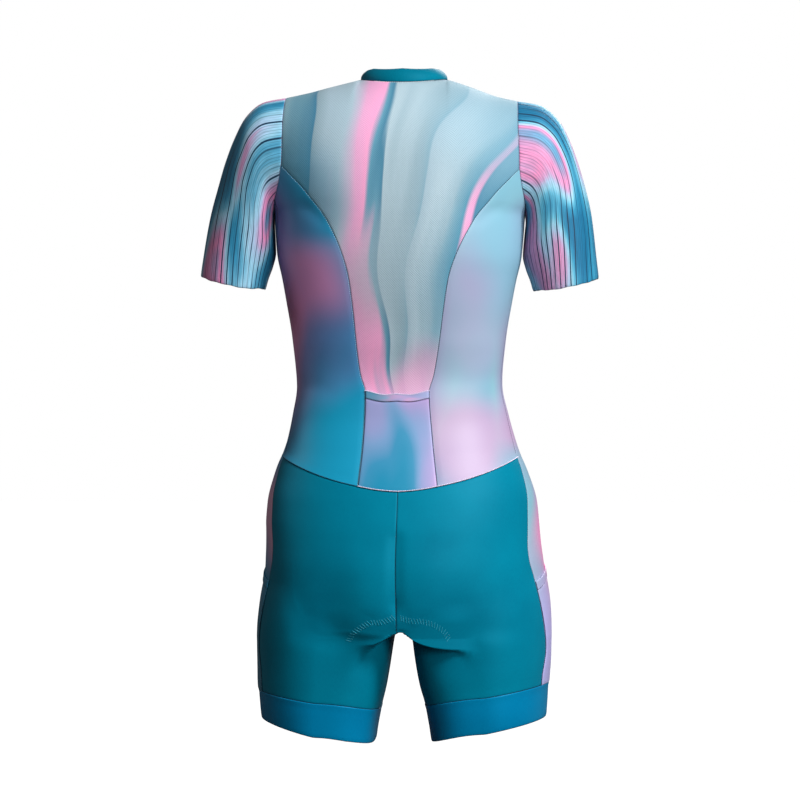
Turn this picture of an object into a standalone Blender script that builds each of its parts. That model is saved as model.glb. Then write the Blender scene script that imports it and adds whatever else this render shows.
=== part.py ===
"""Triathlon suit: a short-sleeved one-piece with a stand collar, a front zip and banded legs, as worn.

The front faces -Y and the wearer's left is +X. The origin lies between the shoulders, at the neck's base.
Sizes are in millimetres and are turned into metres where the meshes are made.
"""

import math

import bpy
import numpy as np

MM = 0.001
WALL = 1.1
SEAM = 0.36
LAID_ON = 0.3

ROUND = 0.87
YOKE_Z = -104.0
CHEST_Z = (-118.0, -131.0)
ARMPIT_Z = -143.0
ARMPIT_SAG = 11.0
CROTCH_Z = -642.5
WAIST_SIDE_X = 133.7
PRINCESS_END_X = 44.8
ZIP_GAP = 8.0

NECK_X = 50.6
NECK_BACK_Y = 52.0
NECK_FRONT_Y = -62.0
NECK_BACK_Z = -7.5
NECK_FRONT_Z = -45.0
SHOULDER_X = 135.0
NECK_PART = 0.4
NAPE_TURN = 50.0
THROAT_TURN = 48.0

COLLAR_X = 40.5
COLLAR_BACK = (44.0, 9.5)
COLLAR_SIDE_Z = 15.0
COLLAR_FRONT = (-52.0, -22.0)

YOKE_ROWS = 9
YOKE_COLUMNS = 10
SIDE_COLUMNS = 4
BACK_POCKET_TOP, BACK_POCKET_BOUND = 0.665, 0.695
SIDE_POCKET_TOP, SIDE_POCKET_BOUND = 0.697, 0.746
TORSO_SHARES = (0, 0.06, 0.15, 0.24, 0.33, 0.42, 0.51, 0.59, BACK_POCKET_TOP, BACK_POCKET_BOUND)
TORSO_SHARES += (0.77, 0.85, 0.92, 1)
HIP_SHARES = (0, 0.15, 0.3, 0.44, 0.58, SIDE_POCKET_TOP, SIDE_POCKET_BOUND, 0.82, 0.9, 0.96, 1)
SLEEVE_SHARES = (0, 0.05, 0.12, 0.2, 0.29, 0.39, 0.5, 0.62, 0.75, 0.88, 1)


def table(columns, *rows):
    """Columns of a table by name."""
    return {name: np.array(values, float) for name, values in zip(columns.split(), zip(*rows))}


# Sections of the trunk. Above the armpit the half width is that of the whole section, cut by the armholes.
TRUNK = table(
    "z half back front",
    (-104, 162.0, 104.0, -98.0),
    (-118, 160.5, 105.2, -104.0),
    (-131, 157.0, 105.8, -109.5),
    (-143, 151.9, 106.0, -113.0),
    (-154, 146.5, 105.8, -116.0),
    (-175, 144.9, 104.5, -119.0),
    (-204, 142.4, 101.5, -119.5),
    (-231, 136.6, 97.0, -115.5),
    (-256, 132.0, 91.5, -109.0),
    (-302, 124.5, 79.0, -99.5),
    (-356, 119.8, 66.5, -94.0),
    (-389, 125.6, 69.5, -96.0),
    (-431, 136.4, 83.0, -101.0),
    (-456, 146.0, 94.0, -103.5),
    (-490, 155.6, 108.0, -104.5),
    (-529, 159.0, 119.0, -102.0),
    (-569, 163.5, 123.5, -98.0),
    (-607, 169.0, 121.0, -92.0),
    (-643, 171.2, 113.0, -86.0),
)

# Sections of a leg: its inner and outer edges, the middle of its depth, half of that depth, and the power
# that rounds its inner half: 1 is an oval, less is squarer.
LEG = table(
    "z inner outer middle depth inside",
    (-642.5, 0.4, 171.2, 9.0, 94.5, 0.56),
    (-643.6, 4.8, 171.2, 9.0, 94.4, 0.56),
    (-646, 8.4, 171.2, 9.0, 94.0, 0.56),
    (-653, 11.1, 171.0, 8.7, 93.3, 0.56),
    (-670, 14.1, 170.6, 7.6, 92.0, 0.56),
    (-687, 16.9, 169.7, 6.6, 91.0, 0.56),
    (-708, 20.8, 168.5, 5.2, 89.8, 0.58),
    (-729, 25.9, 167.0, 4.0, 88.5, 0.6),
    (-750, 29.6, 165.0, 2.0, 86.5, 0.62),
    (-771, 32.8, 163.0, 0.0, 84.5, 0.62),
)

# How far the trunk has turned into two legs, by height: in general, and for its depth at the centre seam.
FORK = table(
    "z side centre",
    (-545, 0.0, 0.0),
    (-585, 0.1, 0.0),
    (-610, 0.3, 0.02),
    (-625, 0.55, 0.06),
    (-635.5, 0.79, 0.18),
    (-640, 0.92, 0.42),
    (-642.5, 1.0, 1.0),
)

# Rows of a leg, by the height of their inner and outer ends.
LEG_ROWS = (
    (-642.5, -642.5),
    (-646.0, -645.0),
    (-653.0, -650.5),
    (-664.0, -659.0),
    (-685.0, -675.0),
    (-707.0, -691.5),
    (-729.0, -708.0),
)
BAND_ROWS = ((-729.0, -708.0), (-750.0, -724.5), (-771.0, -741.0))

ARMHOLE = table("z x", (-104, 136.8), (-118, 139.0), (-131, 142.0), (-143, 145.0))

SHOULDER = table("x z", (50.6, 0), (70, -4.7), (88, -9.3), (106, -14.3), (126, -18.7), (135, -20.5))

# Half width of the centre back between its princess seams.
PRINCESS = table(
    "z half",
    (-104, 136.8),
    (-118, 123.5),
    (-131, 111.0),
    (-143, 101.5),
    (-162, 86.9),
    (-201, 67.2),
    (-233, 57.0),
    (-273, 51.3),
    (-313, 46.8),
    (-345, 41.8),
    (-365, 36.3),
    (-420, 39.5),
    (-471, 44.8),
)

# Seams of the side panel, in degrees behind and before the side plane.
SIDE_SEAMS = table(
    "z back front",
    (-143, 18.57, 18.57),
    (-175, 12, 14),
    (-220, 8, 11),
    (-300, 7, 10),
    (-345, 8, 10),
    (-400, 11, 12),
    (-441, 15.5, 13),
    (-471, 19, 14),
    (-498, 22.5, 15),
    (-523, 24, 16),
    (-542, 25.4, 17),
    (-556, 24.9, 18),
    (-574, 22, 18),
    (-592, 19.8, 17),
    (-609, 16.6, 16),
    (-627, 13, 15),
    (-643, 10.4, 13.5),
    (-662, 10, 13),
    (-685, 11.8, 13),
    (-708, 13, 14),
    (-771, 13, 14),
)

WAIST_SEAM = table("x z", (0, -477), (44.8, -471.2), (91.9, -460.9), (133.7, -439.3))

# Lengthwise edges of a sleeve in front view and half of its depth, from armhole to cuff.
SLEEVE = table(
    "share outer_x outer_z inner_x inner_z depth",
    (0.0, 135.0, -20.5, 147.3, -154.0, 61.0),
    (0.12, 161.0, -25.5, 147.2, -162.0, 60.0),
    (0.25, 181.5, -42.0, 146.3, -170.0, 58.5),
    (0.38, 195.0, -68.0, 145.4, -180.0, 56.0),
    (0.5, 204.0, -94.0, 144.6, -190.0, 53.5),
    (0.62, 212.0, -123.0, 144.0, -202.0, 51.0),
    (0.75, 220.5, -156.0, 147.3, -217.0, 48.5),
    (0.88, 227.0, -193.0, 152.5, -231.0, 46.5),
    (1.0, 231.0, -229.0, 157.5, -244.0, 45.0),
)

# Soft folds under the seat: ends, depth and half width.
FOLDS = table(
    "x0 z0 x1 z1 depth spread",
    (14, -656, 50, -664, 2.6, 7),
    (-14, -653, -66, -667, 3.0, 8),
    (-70, -610, -130, -622, 1.4, 12),
    (60, -604, 118, -614, 1.2, 12),
)

SIDE_POCKET_SLANT = 24.0
FORK_FULLNESS = 0.08
FORK_REACH = (15.0, 70.0)
POCKET_WALL = 1.2
BINDING_WALL = 1.8

TAPE_HALF = 3.7
COIL_HALF = 1.4
COIL_RISE = 1.0
SLIDER_DOWN = 7.5
PULL_AXIS = 4.0
PULL_LENGTH = 20.0

COLOURS = {
    "shorts": (0.0, 0.2, 0.33),
    "band": (0.0, 0.19, 0.4),
    "collar": (0.0, 0.21, 0.34),
    "back": (0.3, 0.42, 0.5),
    "side": (0.25, 0.2, 0.34),
    "sleeve": (0.2, 0.44, 0.62),
    "pocket": (0.06, 0.22, 0.38),
    "binding": (0.16, 0.4, 0.52),
    "zip": (0.01, 0.04, 0.09),
    "metal": (0.3, 0.31, 0.33),
}


def at(columns, name, where):
    """Value of a column at a place along the table's first column, on a smooth line without overshoot."""
    key = next(iter(columns))
    order = np.argsort(columns[key])
    xs, ys = columns[key][order], columns[name][order]
    step = np.diff(xs)
    grade = np.diff(ys) / step
    slope = np.concatenate([grade[:1], np.zeros(len(step) - 1), grade[-1:]])
    product = grade[:-1] * grade[1:]
    total = grade[:-1] + grade[1:]
    same = product > 0
    slope[1:-1][same] = 2 * product[same] / total[same]
    i = np.clip(np.searchsorted(xs, where) - 1, 0, len(step) - 1)
    t = np.clip((where - xs[i]) / step[i], 0, 1)
    rise = (3 - 2 * t) * t * t
    bend = t * (1 - t) * ((1 - t) * slope[i] - t * slope[i + 1]) * step[i]
    return ys[i] * (1 - rise) + ys[i + 1] * rise + bend


def smooth(share):
    """Ease from 0 to 1."""
    share = np.clip(share, 0, 1)
    return share * share * (3 - 2 * share)


def mix(first, last, share):
    """Straight blend of two values or points."""
    return first + (last - first) * share


def trunk_point(z, turn):
    """Point on the trunk: turn runs from centre back (0) past the side (90) to centre front (180)."""
    z, turn = np.broadcast_arrays(np.asarray(z, float), np.asarray(turn, float))
    side, end = np.sin(np.radians(turn)), np.cos(np.radians(turn))
    depth = np.where(turn < 90, at(TRUNK, "back", z), at(TRUNK, "front", z))
    x = at(TRUNK, "half", z) * np.clip(side, 0, 1) ** ROUND
    return np.stack([x, depth * np.abs(end) ** ROUND, z], axis=-1)


def turn_of(x, z):
    """Turn behind the side plane at which the trunk's section reaches x."""
    return math.degrees(math.asin(min(1.0, (x / at(TRUNK, "half", z)) ** (1 / ROUND))))


def leg_point(z, turn):
    """Point on a leg: the same turns as on the trunk run once round it, from and to its inner edge."""
    along, across_it = -np.cos(np.radians(2 * turn)), np.sin(np.radians(2 * turn))
    power = np.where(along < 0, at(LEG, "inside", z), 1.0)
    along, across_it = (np.sign(part) * np.abs(part) ** power for part in (along, across_it))
    inner, outer = at(LEG, "inner", z), at(LEG, "outer", z)
    x = (inner + outer) / 2 + (outer - inner) / 2 * along
    return np.stack([x, at(LEG, "middle", z) + at(LEG, "depth", z) * across_it, z], axis=-1)


def places(*counts, start=0):
    """Stations across panels: one unit a panel, each divided by its count."""
    runs = [np.linspace(start + k, start + k + 1, n + 1)[k > 0:] for k, n in enumerate(counts)]
    return np.concatenate(runs)


def torso_cut(seam, z):
    """Turn of a seam between the torso's panels: centre back, princess, side back, side front, zip."""
    if seam == 1:
        return turn_of(at(PRINCESS, "half", z), z)
    if seam == 4:
        return 180 - turn_of(ZIP_GAP / 2, z)
    return (0, None, 90 - at(SIDE_SEAMS, "back", z), 90 + at(SIDE_SEAMS, "front", z))[seam]


def waist_z(place):
    """Height of the waist seam at a station."""
    reach = np.interp(place, (0, 1, 2), (0, PRINCESS_END_X, WAIST_SIDE_X))
    return at(WAIST_SEAM, "z", reach)


def torso_row(share, place):
    """Row of the torso at a share of the way from the armpit to the waist seam."""
    def height(where):
        return mix(ARMPIT_Z, waist_z(where), share)

    turn = np.interp(place, range(5), [torso_cut(k, height(float(k))) for k in range(5)])
    sag = ARMPIT_SAG * max(0.0, 1 - share / 0.15) ** 2
    z = height(place) - sag * np.sin(np.pi * np.clip(place - 2, 0, 1))
    return trunk_point(z, turn)


def depth_at(x, middle, half, depth, power):
    """Depth of a rounded section at a distance from the centre plane."""
    inside = np.clip(1 - np.abs((x - middle) / half) ** (2 / power), 0, 1)
    return depth * inside ** (power / 2)


def fork_point(z, turn):
    """Point on the trunk where it turns into the legs, last of all at the centre seams."""
    trunk, leg = trunk_point(z, turn), leg_point(z, turn)
    z, turn = trunk[..., 2], np.broadcast_to(turn, trunk.shape[:-1])
    early, late = at(FORK, "side", z), at(FORK, "centre", z)
    x = mix(trunk[..., 0], leg[..., 0], early)
    drawn = mix(trunk[..., 1], leg[..., 1], early) * (1 + FORK_FULLNESS * 4 * early * (1 - early))
    rear = turn < 90
    depth = np.where(rear, at(TRUNK, "back", z), at(TRUNK, "front", z))
    of_trunk = depth_at(x, 0, at(TRUNK, "half", z), depth, ROUND)
    inner, outer = at(LEG, "inner", z), at(LEG, "outer", z)
    middle, half = (inner + outer) / 2, (outer - inner) / 2
    power = np.where(x < middle, at(LEG, "inside", z), 1.0)
    facing, deep = np.where(rear, 1, -1), at(LEG, "depth", z)
    of_leg = at(LEG, "middle", z) + facing * depth_at(x, middle, half, deep, power)
    even = mix(of_trunk, of_leg, mix(late, early, smooth((x - FORK_REACH[0]) / FORK_REACH[1])))
    return np.stack([x, mix(drawn, even, smooth((np.abs(turn - 90) - 30) / 25)), z], axis=-1)


def hip_cut(seam, z):
    """Turn of a seam or station line of the shorts."""
    if seam == 1:
        top = torso_cut(1, -471.0)
        return mix(top, 33.0, smooth((-471.0 - z) / 90.0))
    return (0, None, 90 - at(SIDE_SEAMS, "back", z), 90 + at(SIDE_SEAMS, "front", z), 180)[seam]


def hip_row(share, place):
    """Row of the shorts at a share of the way from the waist seam to the crotch."""
    slant = SIDE_POCKET_SLANT * smooth(share / 0.6) * smooth((1 - share) / 0.25)

    def height(where):
        return mix(waist_z(where), CROTCH_Z, share) + slant * np.interp(where, (2, 3, 4), (0, 1, 0))

    turn = np.interp(place, range(5), [hip_cut(k, height(float(k))) for k in range(5)])
    return fork_point(height(place), turn)


def leg_row(inner_z, outer_z, place):
    """Row round a leg, tilted between its inner and outer ends."""
    middle = (inner_z + outer_z) / 2
    turn = np.interp(place, range(5), [hip_cut(k, middle) for k in range(5)])
    z = mix(outer_z, inner_z, (1 + np.cos(np.radians(2 * turn))) / 2)
    return leg_point(z, turn)


def armhole_turn(z):
    """Turn at which the armhole cuts the trunk's back."""
    return turn_of(at(ARMHOLE, "x", z), z)


def neck_point(around):
    """Point of the neckline: around runs from centre back, 0, past the shoulder, 90, to the front, 180."""
    side, end = np.sin(np.radians(around)), np.abs(np.cos(np.radians(around)))
    depth = np.where(around < 90, NECK_BACK_Y, NECK_FRONT_Y)
    drop = np.where(around < 90, NECK_BACK_Z, NECK_FRONT_Z)
    return np.stack([NECK_X * side, depth * end, drop * end ** 1.6], axis=-1)


def yoke_top(place, front):
    """End of a column at the neckline or shoulder seam: place runs from the centre, 0, to the armhole, 1."""
    around = 90 * np.clip(place / NECK_PART, 0, 1)
    if front:
        first = math.degrees(math.asin(ZIP_GAP / 2 / NECK_X))
        around = 180 - mix(first, 90.0, around / 90)
    x = mix(NECK_X, SHOULDER_X, (place - NECK_PART) / (1 - NECK_PART))
    shoulder = np.stack([x, 0 * x, at(SHOULDER, "z", x)], axis=-1)
    return np.where((place < NECK_PART)[:, None], neck_point(around), shoulder)


def yoke_row(rise, place, front=False):
    """Row over the shoulder, from the yoke line (0) to the neckline and the shoulder seam (1)."""
    edge = armhole_turn(YOKE_Z)
    turn = mix(180 - turn_of(ZIP_GAP / 2, YOKE_Z), 180 - edge, place) if front else edge * place
    base, top = trunk_point(YOKE_Z, turn), yoke_top(place, front)
    lean = (base - trunk_point(YOKE_Z - 1, turn))[:, 1]
    centre = THROAT_TURN if front else NAPE_TURN
    end = np.radians(mix(centre, 90.0, np.clip(place / NECK_PART, 0, 1) ** 1.5))
    lift = np.sin(rise * end) / np.sin(end)
    reach = (np.cos(rise * end) - np.cos(end)) / (1 - np.cos(end))
    x = mix(base[:, 0], top[:, 0], lift)
    z = mix(base[:, 2], top[:, 2], lift)
    y = mix(top[:, 1], base[:, 1], reach) + lean * (top[:, 2] - base[:, 2]) * lift * (1 - lift) ** 2
    return np.stack([x, y, z], axis=-1)


def chest_row(z, place):
    """Row between the yoke line and the armpit, over the back (places 0 to 2) or the front (3 to 4)."""
    cuts = [0, torso_cut(1, z), armhole_turn(z), 180 - armhole_turn(z), torso_cut(4, z)]
    return trunk_point(z + 0 * place, np.interp(place, range(5), cuts))


def collar_point(around, rise):
    """Point of the collar, from the neckline (0) to its top edge (1)."""
    side, end = np.sin(np.radians(around)), np.abs(np.cos(np.radians(around)))
    behind = around < 90
    depth = np.where(behind, COLLAR_BACK[0], COLLAR_FRONT[0])
    edge = np.where(behind, COLLAR_BACK[1], COLLAR_FRONT[1])
    x = np.where(behind, COLLAR_X * side, np.maximum(COLLAR_X * side, ZIP_GAP / 2))
    top = np.stack([x, depth * end, mix(COLLAR_SIDE_Z, edge, end ** 1.6)], axis=-1)
    return mix(neck_point(around), top, np.array([rise ** 1.5, rise ** 1.5, rise]))


def mirrored(rows):
    """Rows of the right half from those of the left."""
    return [row[::-1] * (-1, 1, 1) for row in rows]


def across(rows):
    """Rows of both halves joined at the centre line."""
    return [np.concatenate([other[:-1], row]) for row, other in zip(rows, mirrored(rows))]


def on_side(rows, side):
    """Rows of the left (1) or the right (-1)."""
    return rows if side > 0 else mirrored(rows)


def creased(rows):
    """Rows with the soft folds under the seat pressed in."""
    pressed = []
    for row in rows:
        depth = 0
        for x0, z0, x1, z1, deep, spread in zip(*FOLDS.values()):
            start, run = np.array([x0, z0]), np.array([x1 - x0, z1 - z0])
            along = ((row[:, [0, 2]] - start) @ run) / (run @ run)
            nearest = start + np.clip(along, 0, 1)[:, None] * run
            away = np.linalg.norm(row[:, [0, 2]] - nearest, axis=1)
            depth = depth + deep * np.exp(-(away / spread) ** 2)
        pressed.append(row - np.stack([0 * depth, depth * smooth(row[:, 1] / 40), 0 * depth], axis=1))
    return pressed


def toward(point, goal, distance):
    """Point moved a distance towards another."""
    gap = goal - point
    return point + gap / np.linalg.norm(gap, axis=-1, keepdims=True) * distance


def trimmed(rows, closed=False):
    """Rows with half of the seam gap taken off along every edge."""
    rows = [row.copy() for row in rows]
    if len(rows[0]) == len(rows[1]):
        rows[0] = toward(rows[0], rows[1], SEAM / 2)
    if len(rows[-1]) == len(rows[-2]):
        rows[-1] = toward(rows[-1], rows[-2], SEAM / 2)
    for row in rows:
        if not closed and len(row) > 1:
            row[0], row[-1] = toward(row[0], row[1], SEAM / 2), toward(row[-1], row[-2], SEAM / 2)
    return rows


def parted(rows, side):
    """Rows kept half of a seam gap off the centre plane."""
    for row in rows:
        row[:, 0] = side * np.maximum(side * row[:, 0], SEAM / 2)
    return rows


def row_faces(upper, lower, first, second, closed):
    """Faces between two rows, whose segment counts are equal or one to two, or one row is a point."""
    wrap_u, wrap_l = (upper, lower) if closed else (upper + 1, lower + 1)
    n, m = (upper, lower) if closed else (upper - 1, lower - 1)
    if upper == 1:
        return [(first, second + k + 1, second + k) for k in range(m)]
    if n == m:
        return [
            (first + k, first + (k + 1) % wrap_u, second + (k + 1) % wrap_l, second + k)
            for k in range(n)
        ]
    faces = []
    for k in range(min(n, m)):
        if n == 2 * m:
            a, b, c = first + 2 * k, first + 2 * k + 1, first + 2 * k + 2
            faces += [(a, b, second + k), (b, second + k + 1, second + k), (b, c, second + k + 1)]
        else:
            a, b, c = second + 2 * k, second + 2 * k + 1, second + 2 * k + 2
            faces += [(first + k, b, a), (first + k, first + k + 1, b), (first + k + 1, c, b)]
    return faces


def woven(rows, closed=False):
    """Points and faces of a surface through rows, from top to bottom and from the back to the front."""
    faces, start = [], 0
    for upper, lower in zip(rows, rows[1:]):
        faces += row_faces(len(upper), len(lower), start, start + len(upper), closed)
        start += len(upper)
    return np.concatenate(rows), faces


def material(name):
    """Principled material of one colour."""
    found = bpy.data.materials.get(name)
    if found:
        return found
    made = bpy.data.materials.new(name)
    made.use_nodes = True
    shader = made.node_tree.nodes["Principled BSDF"]
    shader.inputs["Base Color"].default_value = (*COLOURS[name], 1)
    shader.inputs["Roughness"].default_value = 0.35 if name == "metal" else 0.6
    shader.inputs["Metallic"].default_value = 1.0 if name == "metal" else 0.0
    return made


def add_mesh(name, points, faces, colour, origin=(0, 0, 0)):
    """Object of a mesh given in millimetres."""
    mesh = bpy.data.meshes.new(name)
    placed = (np.asarray(points) - origin) * MM
    mesh.from_pydata(placed.tolist(), [], [list(face) for face in faces])
    mesh.materials.append(material(colour))
    made = bpy.data.objects.new(name, mesh)
    made.location = np.array(origin) * MM
    bpy.data.collections["triathlon_suit"].objects.link(made)
    return made


def cloth(name, rows, colour, wall=WALL, closed=False):
    """Shell of cloth whose outer surface runs through the rows."""
    made = add_mesh(name, *woven(rows, closed), colour)
    shell = made.modifiers.new("Wall", "SOLIDIFY")
    shell.thickness = wall * MM
    shell.offset = -1
    shell.use_even_offset = True
    return made


def lifted(rows, distance):
    """Rows moved out along the surface's normals."""
    grid = np.array(rows)
    down, side = np.gradient(grid, axis=0), np.gradient(grid, axis=1)
    normal = np.cross(side, down)
    return list(grid + normal / np.linalg.norm(normal, axis=-1, keepdims=True) * distance)


def chest_rows(place):
    """Rows from below the yoke line to above the armpit."""
    return [chest_row(z, place) for z in CHEST_Z]


def add_backs():
    """Centre back and the two side backs."""
    place = places(YOKE_COLUMNS)
    rows = [yoke_row(rise, place) for rise in np.linspace(1, 0, YOKE_ROWS)]
    rows += chest_rows(place)
    rows += [torso_row(share, place) for share in TORSO_SHARES[:2]]
    rows += [torso_row(share, place[::2]) for share in TORSO_SHARES[2:]]
    cloth("back_centre", trimmed(across(rows)), "back")

    narrow, wide = places(3, start=1), places(6, start=1)
    tip = mix(chest_row(YOKE_Z, np.array([2.0])), chest_row(CHEST_Z[0], np.array([1.6])), 0.1)
    rows = [tip] + chest_rows(narrow)
    rows += [torso_row(TORSO_SHARES[0], narrow)]
    rows += [torso_row(share, wide) for share in TORSO_SHARES[1:]]
    for word, side in (("left", 1), ("right", -1)):
        cloth(f"back_side_{word}", trimmed(on_side(rows, side)), "side")


def front_rows():
    """Rows of the left front, from the shoulder to the waist seam."""
    over, down = places(YOKE_COLUMNS)[::-1], places(YOKE_COLUMNS, start=3)
    rows = [yoke_row(rise, over, front=True) for rise in np.linspace(1, 0, YOKE_ROWS)]
    rows += chest_rows(down)
    return rows + [torso_row(share, down) for share in TORSO_SHARES]


def add_fronts():
    """The two fronts."""
    for word, side in (("left", 1), ("right", -1)):
        cloth(f"front_{word}", trimmed(on_side(front_rows(), side)), "back")


def side_rows():
    """Rows of the left side panel, from the armpit to the leg band."""
    place = places(SIDE_COLUMNS, start=2)
    rows = [torso_row(share, place) for share in TORSO_SHARES]
    rows += [hip_row(share, place) for share in HIP_SHARES[1:]]
    return rows + [leg_row(*ends, place) for ends in LEG_ROWS[1:]]


def add_sides():
    """The two side panels."""
    for word, side in (("left", 1), ("right", -1)):
        cloth(f"side_{word}", trimmed(on_side(side_rows(), side)), "side")


def add_legs():
    """The shorts and the leg bands."""
    back, front = places(5, 6), places(YOKE_COLUMNS, start=3)
    around = places(5, 6, SIDE_COLUMNS, YOKE_COLUMNS)
    for word, side in (("left", 1), ("right", -1)):
        for name, place in (("back", back), ("front", front)):
            rows = [hip_row(share, place) for share in HIP_SHARES]
            rows += [leg_row(*ends, place) for ends in LEG_ROWS[1:]]
            rows = trimmed(creased(on_side(rows, side)))
            cloth(f"leg_{name}_{word}", parted(rows, side), "shorts")
        rows = [leg_row(*ends, around)[:-1] for ends in BAND_ROWS]
        cloth(f"leg_band_{word}", trimmed(on_side(rows, side), closed=True), "band", closed=True)


def armhole_ring():
    """Points round the left armhole, from the shoulder down the back and up the front."""
    edge = np.array([1.0])
    behind = [yoke_row(rise, edge)[0] for rise in np.linspace(1, 0, YOKE_ROWS)]
    behind += [chest_row(z, np.array([2.0]))[0] for z in CHEST_Z]
    before = [chest_row(z, np.array([3.0]))[0] for z in CHEST_Z[::-1]]
    before += [yoke_row(rise, edge, front=True)[0] for rise in np.linspace(0, 1, YOKE_ROWS)]
    return np.array(behind + list(torso_row(0, places(SIDE_COLUMNS, start=2))) + before[:-1])


def sleeve_row(share, hole, around):
    """Ring of the left sleeve: an oval that takes the armhole's own form at its top."""
    def oval(where):
        outer = np.array([at(SLEEVE, "outer_x", where), 0, at(SLEEVE, "outer_z", where)])
        inner = np.array([at(SLEEVE, "inner_x", where), 0, at(SLEEVE, "inner_z", where)])
        spread = np.cos(around)[:, None] * (outer - inner) / 2
        depth = np.sin(around)[:, None] * np.array([0, at(SLEEVE, "depth", where), 0])
        return (outer + inner) / 2 + spread + depth

    left_over = (hole - oval(0.0)) * max(0.0, 1 - share / 0.3) ** 2
    return oval(share) + left_over


def sleeve_rows():
    """Rings of the left sleeve from armhole to cuff."""
    hole = armhole_ring()
    steps = np.linalg.norm(np.roll(hole, -1, axis=0) - hole, axis=1)
    around = 2 * np.pi * np.concatenate([[0], np.cumsum(steps)[:-1]]) / steps.sum()
    return [sleeve_row(share, hole, around)[::-1] for share in SLEEVE_SHARES]


def add_sleeves():
    """The two sleeves."""
    for word, side in (("left", 1), ("right", -1)):
        cloth(f"sleeve_{word}", trimmed(on_side(sleeve_rows(), side), closed=True), "sleeve", closed=True)


def add_collar():
    """Stand collar, open at the front."""
    first = 180 - math.degrees(math.asin(ZIP_GAP / 2 / NECK_X))
    around = np.concatenate([np.linspace(0, 90, 5), mix(90.0, first, np.linspace(0, 1, 5))[1:]])
    rows = across([collar_point(around, rise) for rise in (1, 0.5, 0)])
    cloth("collar", trimmed(rows), "collar")


def rows_between(row_at, shares, first, last, place):
    """Rows of a panel between two of its shares."""
    return [row_at(share, place) for share in shares if first <= share <= last]


def add_laid_on(name, word, side, patch, strip, colour):
    """Pocket patch and its binding, laid on the panel whose rows they follow."""
    for part, rows, wall, tint in (
        (name, patch, POCKET_WALL, colour),
        (f"{name}_binding", strip, BINDING_WALL, "binding"),
    ):
        raised = lifted(on_side(rows, side), LAID_ON + wall)
        cloth(f"{part}{word}", trimmed(raised), tint, wall)


def add_back_pocket():
    """Patch pocket between the princess seams."""
    place = places(5)
    patch = rows_between(torso_row, TORSO_SHARES, BACK_POCKET_BOUND, 1, place)
    strip = rows_between(torso_row, TORSO_SHARES, BACK_POCKET_TOP, BACK_POCKET_BOUND, place)
    add_laid_on("back_pocket", "", 1, across(patch), across(strip), "pocket")


def add_side_pockets():
    """Thigh pockets on the side panels."""
    place = places(SIDE_COLUMNS, start=2)
    patch = rows_between(hip_row, HIP_SHARES, SIDE_POCKET_BOUND, 1, place)
    patch += [leg_row(*ends, place) for ends in LEG_ROWS[1:]]
    strip = rows_between(hip_row, HIP_SHARES, SIDE_POCKET_TOP, SIDE_POCKET_BOUND, place)
    for word, side in (("_left", 1), ("_right", -1)):
        add_laid_on("side_pocket", word, side, patch, strip, "side")


def zip_path():
    """Centre line of the zip from the collar's top to the waist seam, as rows of y and z."""
    first = 180 - math.degrees(math.asin(ZIP_GAP / 2 / NECK_X))
    collar = [collar_point(np.array([first]), rise)[0] for rise in (1, 0.5)]
    return np.array(collar + [row[-1] for row in front_rows()])[:, 1:]


def path_frame(path, distance):
    """Point, downward direction and outward direction at a distance along the zip."""
    steps = np.linalg.norm(np.diff(path, axis=0), axis=1)
    run = np.concatenate([[0], np.cumsum(steps)])
    point = np.array([np.interp(distance, run, path[:, k]) for k in (0, 1)])
    k = int(np.clip(np.searchsorted(run, distance) - 1, 0, len(steps) - 1))
    down = (path[k + 1] - path[k]) / steps[k]
    return point, down, np.array([down[1], -down[0]])


def add_zip():
    """Tape with the raised coil along its middle."""
    path = zip_path()
    down = np.gradient(path, axis=0)
    down /= np.linalg.norm(down, axis=1, keepdims=True)
    out = np.stack([down[:, 1], -down[:, 0]], axis=1)
    profile = ((TAPE_HALF, 0), (COIL_HALF, 0), (COIL_HALF - 0.3, COIL_RISE))
    profile += tuple((-x, rise) for x, rise in profile[::-1])
    rows = []
    for point, normal in zip(path, out):
        places_yz = [point + rise * normal for x, rise in profile]
        rows.append(np.array([(x, y, z) for (x, rise), (y, z) in zip(profile, places_yz)]))
    rows[0] = toward(rows[0], rows[1], SEAM / 2)
    rows[-1] = toward(rows[-1], rows[-2], SEAM / 2)
    cloth("zip", rows, "zip")


def cell_mesh(xs, downs, outs, filled):
    """Closed surface of the filled cells of a grid, with shared corners."""
    points, faces = {}, []

    def corner(i, j, k):
        return points.setdefault((i, j, k), len(points))

    for i, j, k in sorted(filled):
        box = [corner(i + a, j + b, k + c) for a in (0, 1) for b in (0, 1) for c in (0, 1)]
        for (a, b, c), sides in (
            ((-1, 0, 0), (2, 3, 1, 0)),
            ((1, 0, 0), (5, 7, 6, 4)),
            ((0, -1, 0), (1, 5, 4, 0)),
            ((0, 1, 0), (6, 7, 3, 2)),
            ((0, 0, -1), (4, 6, 2, 0)),
            ((0, 0, 1), (3, 7, 5, 1)),
        ):
            if (i + a, j + b, k + c) not in filled:
                faces.append([box[n] for n in sides])
    used = sorted({n for face in faces for n in face})
    renumber = {old: new for new, old in enumerate(used)}
    by_number = {number: key for key, number in points.items()}
    corners = [(xs[i], downs[j], outs[k]) for i, j, k in (by_number[n] for n in used)]
    return np.array(corners), [[renumber[n] for n in face] for face in faces]


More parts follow.
